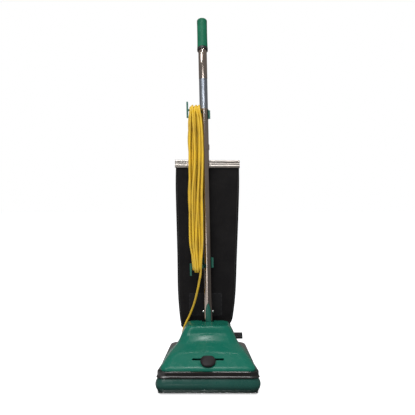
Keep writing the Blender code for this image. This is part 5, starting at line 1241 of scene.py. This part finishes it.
# ---- cord hooks ----------------------------------------------------------------------------------
# Two green mouldings that clip onto the lower tube from behind. Each leaves the tube's front bare and
# carries a flat arm on a web at its left; an upright finger across the arm's end keeps the cord on.
TUBE_GAP = (-0.0128, 0.0142)  # what is left open of the front, from left to right
WEB = (-0.0200, -0.0138)
hook_abs = moulded("hook_abs", (0.0085, 0.098, 0.068), 0.33, grain=0.00004)
for node, low, high in (("upper_cord_hook", 0.8875, 0.9004), ("lower_cord_hook", 0.3664, 0.3790)):
    hook = fine_copy(node, hook_abs, edge=0.0007, segments=3)
    blank = bpy.data.objects.new("hook_blank", hook.data)
    bpy.context.scene.collection.objects.link(blank)
    hook.data = carved(
        blank,
        [block("gap", (TUBE_GAP[0], 0.0400, low - 0.06), (TUBE_GAP[1], 0.0920, high + 0.06), leaning)],
        [block("web", (WEB[0], 0.0590, low), (WEB[1], 0.0905, high), leaning)],
    )
    hook.data.shade_smooth()
    hook.data.set_sharp_from_angle(angle=math.radians(32))

# ---- strain relief and plug ----------------------------------------------------------------------
# A black rubber relief snaps into the hood and carries the cord up and out. The plug is a moulded black
# body with two flat blades and a round earth pin, hanging behind the hank.
relief_rubber = rubber("relief_rubber", (0.014, 0.014, 0.014), 0.5)
plug_vinyl = soft_vinyl("plug_vinyl", (0.013, 0.013, 0.013), 0.42)
fine_copy("strain_relief", relief_rubber, edge=0.0004)
fine_copy("plug", plug_vinyl, edge=0.0012, segments=3)

# ---- mains cord ----------------------------------------------------------------------------------
# A yellow three-core lead, 10.7 m long and 7.2 mm thick, in a satin vinyl jacket. It leaves the hood
# through the strain relief, climbs to the lower hook, and is wound nine times round the two hooks by
# hand.
CORD_DIAMETER = 0.0072
CORD_EXIT = (-0.0860, 0.1260, 0.1382)
TAIL_ROUTE = [
    CORD_EXIT,
    (-0.0857, 0.1252, 0.1430),
    (-0.0828, 0.1205, 0.1560),
    (-0.0750, 0.1165, 0.1760),
    (-0.0625, 0.1110, 0.2030),
    (-0.0500, 0.1035, 0.2350),
    (-0.0410, 0.0930, 0.2660),
    (-0.0340, 0.0800, 0.2970),
    (-0.0290, 0.0670, 0.3240),
    (-0.0250, 0.0550, 0.3490),
]
PLUG_TOP = (-0.0520, 0.0920, 0.6440)
PLUG_ROUTE = [(-0.0560, 0.0850, 0.6950), (-0.0525, 0.0915, 0.6640), PLUG_TOP]
PLUG_ROUTE_ABOVE = 0.74  # the height where the last turn leaves the hank for the plug
RUN_HEIGHTS = np.array([0.400, 0.450, 0.530, 0.620, 0.710, 0.790, 0.850, 0.884])
# Each row is one turn: its x at the lower fold, at four heights going up in front, and at the upper
# fold, then the plane it lies in (0 is the front one), and its x at three heights on the way down
# behind.
TURNS = np.array([
    (-0.0250, -0.0195, -0.0200, -0.0170, -0.0225, -0.0300, 0, -0.0270, -0.0245, -0.0240),
    (-0.0265, -0.0270, -0.0330, -0.0320, -0.0290, -0.0336, 1, -0.0220, -0.0320, -0.0330),
    (-0.0290, -0.0225, -0.0260, -0.0215, -0.0340, -0.0372, 2, -0.0360, -0.0400, -0.0300),
    (-0.0340, -0.0425, -0.0330, -0.0270, -0.0300, -0.0400, 0, -0.0440, -0.0250, -0.0370),
    (-0.0350, -0.0400, -0.0450, -0.0440, -0.0430, -0.0440, 1, -0.0500, -0.0520, -0.0400),
    (-0.0390, -0.0350, -0.0400, -0.0520, -0.0470, -0.0480, 2, -0.0560, -0.0460, -0.0440),
    (-0.0410, -0.0505, -0.0520, -0.0415, -0.0500, -0.0520, 0, -0.0480, -0.0620, -0.0500),
    (-0.0440, -0.0600, -0.0590, -0.0640, -0.0590, -0.0556, 1, -0.0600, -0.0560, -0.0470),
    (-0.0480, -0.0540, -0.0660, -0.0560, -0.0640, -0.0585, 2, -0.0640, -0.0660, -0.0530),
])
FRONT_PLANES = np.array([0.0460, 0.0528, 0.0592])
BACK_PLANES = np.array([0.0662, 0.0734])
UPPER_ARM = (0.0610, 0.9004)  # y and z of the top of the upper arm
LOWER_ARM = (0.0610, 0.3664)
FOLD_Y = (0.0610, 0.0605, 0.0600)  # of a fold's middle: for a run's foot and its top, and behind
# For a turn in each of the three front planes: the radius of its folds, and how far its upper and its
# lower fold stand off the arm.
FOLD_RADII = (0.0150, 0.0125, 0.0100)
UPPER_LIFTS = (0.0064, 0.0030, 0.0002)
LOWER_DROPS = (0.0085, 0.0030, 0.0002)
FRONT_LEVELS = [0.366, 0.46, 0.60, 0.74, 0.84, 0.904]  # the heights at which the table gives x
BACK_LEVELS = [0.366, 0.48, 0.62, 0.80, 0.904]
PLANE_LEVELS = [0.40, 0.46, 0.80, 0.885]  # a run lies in its plane between the middle two
FRONT_WANDER, BACK_WANDER = 0.0012, 0.0010  # how far a run strays from the x of the table


def fold_points(x, arm, side, radius, height):
    """Three points of a fold over an arm: the ends and the crown of an arc of 140 degrees, with this
    radius, a millimetre ahead of the arm's middle. Its crown stands height off the arm."""
    y, z = arm
    crown = z + side * (height + CORD_DIAMETER / 2)
    turn = np.array([-0.72, 0.0, 0.72]) * 1.7  # radians
    across = y - 0.001 + radius * np.sin(turn)
    up = crown - side * radius * (1 - np.cos(turn))
    return np.stack([np.full(3, x), across, up], axis=1)


hank_points = list(TAIL_ROUTE)
for k, turn in enumerate(TURNS):
    plane = int(turn[6])
    radius = FOLD_RADII[plane]
    front = FRONT_PLANES[plane]
    front_x = np.interp(RUN_HEIGHTS, FRONT_LEVELS, turn[:6])
    front_y = np.interp(RUN_HEIGHTS, PLANE_LEVELS, [FOLD_Y[0] - radius, front, front, FOLD_Y[1] - radius])
    wander = FRONT_WANDER * np.sin(RUN_HEIGHTS * 17 + k * 2.1)
    hank_points += list(np.stack([front_x + wander, front_y, RUN_HEIGHTS], axis=1))
    hank_points += list(fold_points(turn[5], UPPER_ARM, 1, radius, UPPER_LIFTS[plane]))
    last = k == len(TURNS) - 1
    down = RUN_HEIGHTS[::-1]
    nearest = PLUG_TOP[0] if last else TURNS[k + 1, 0]
    back = BACK_PLANES[k % 2]
    back_x = np.interp(down, BACK_LEVELS, [nearest, turn[9], turn[8], turn[7], turn[5]])
    back_y = np.interp(down, PLANE_LEVELS, [FOLD_Y[2] + radius, back, back, FOLD_Y[2] + radius])
    behind = np.stack([back_x + BACK_WANDER * np.sin(down * 13 + k), back_y, down], axis=1)
    if last:
        hank_points += list(behind[behind[:, 2] > PLUG_ROUTE_ABOVE]) + PLUG_ROUTE
    else:
        lower = int(TURNS[k + 1, 6])
        fold = fold_points(nearest, LOWER_ARM, -1, FOLD_RADII[lower], LOWER_DROPS[lower])
        hank_points += list(behind) + list(fold[::-1])
cord_line = smooth_route(hank_points, 0.0060)


def cord_jacket():
    """Satin vinyl with a fine grain, its yellow dulled and browned in patches."""
    material, tree, shader = new_finish("cord_jacket", (0.62, 0.40, 0.03), 0.42)
    where = place(tree)
    patches = ranged(tree, speckle(tree, where, 26, 4), 0.35, 0.68, 0, 1)
    painted(tree, shader, patches, (0.68, 0.435, 0.020), (0.52, 0.33, 0.028))
    gloss = ranged(tree, speckle(tree, where, 60), 0.3, 0.7, 0.36, 0.52)
    tree.links.new(gloss, shader.inputs["Roughness"])
    raised(tree, shader, speckle(tree, where, 900, 2), 0.00006, 0.6)
    shader.inputs["Subsurface Weight"].default_value = 0.04
    shader.inputs["Subsurface Radius"].default_value = (0.002, 0.0015, 0.0005)
    return material


cord_vinyl = cord_jacket()
cord_rings = tube(cord_line, CORD_DIAMETER / 2, 12)
mains_cord = add_piece("mains_cord", cord_rings, closed_tube(cord_rings),
                       None, cord_vinyl)
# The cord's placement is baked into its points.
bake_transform(mains_cord)
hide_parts("cord_tail", "cord_hank")
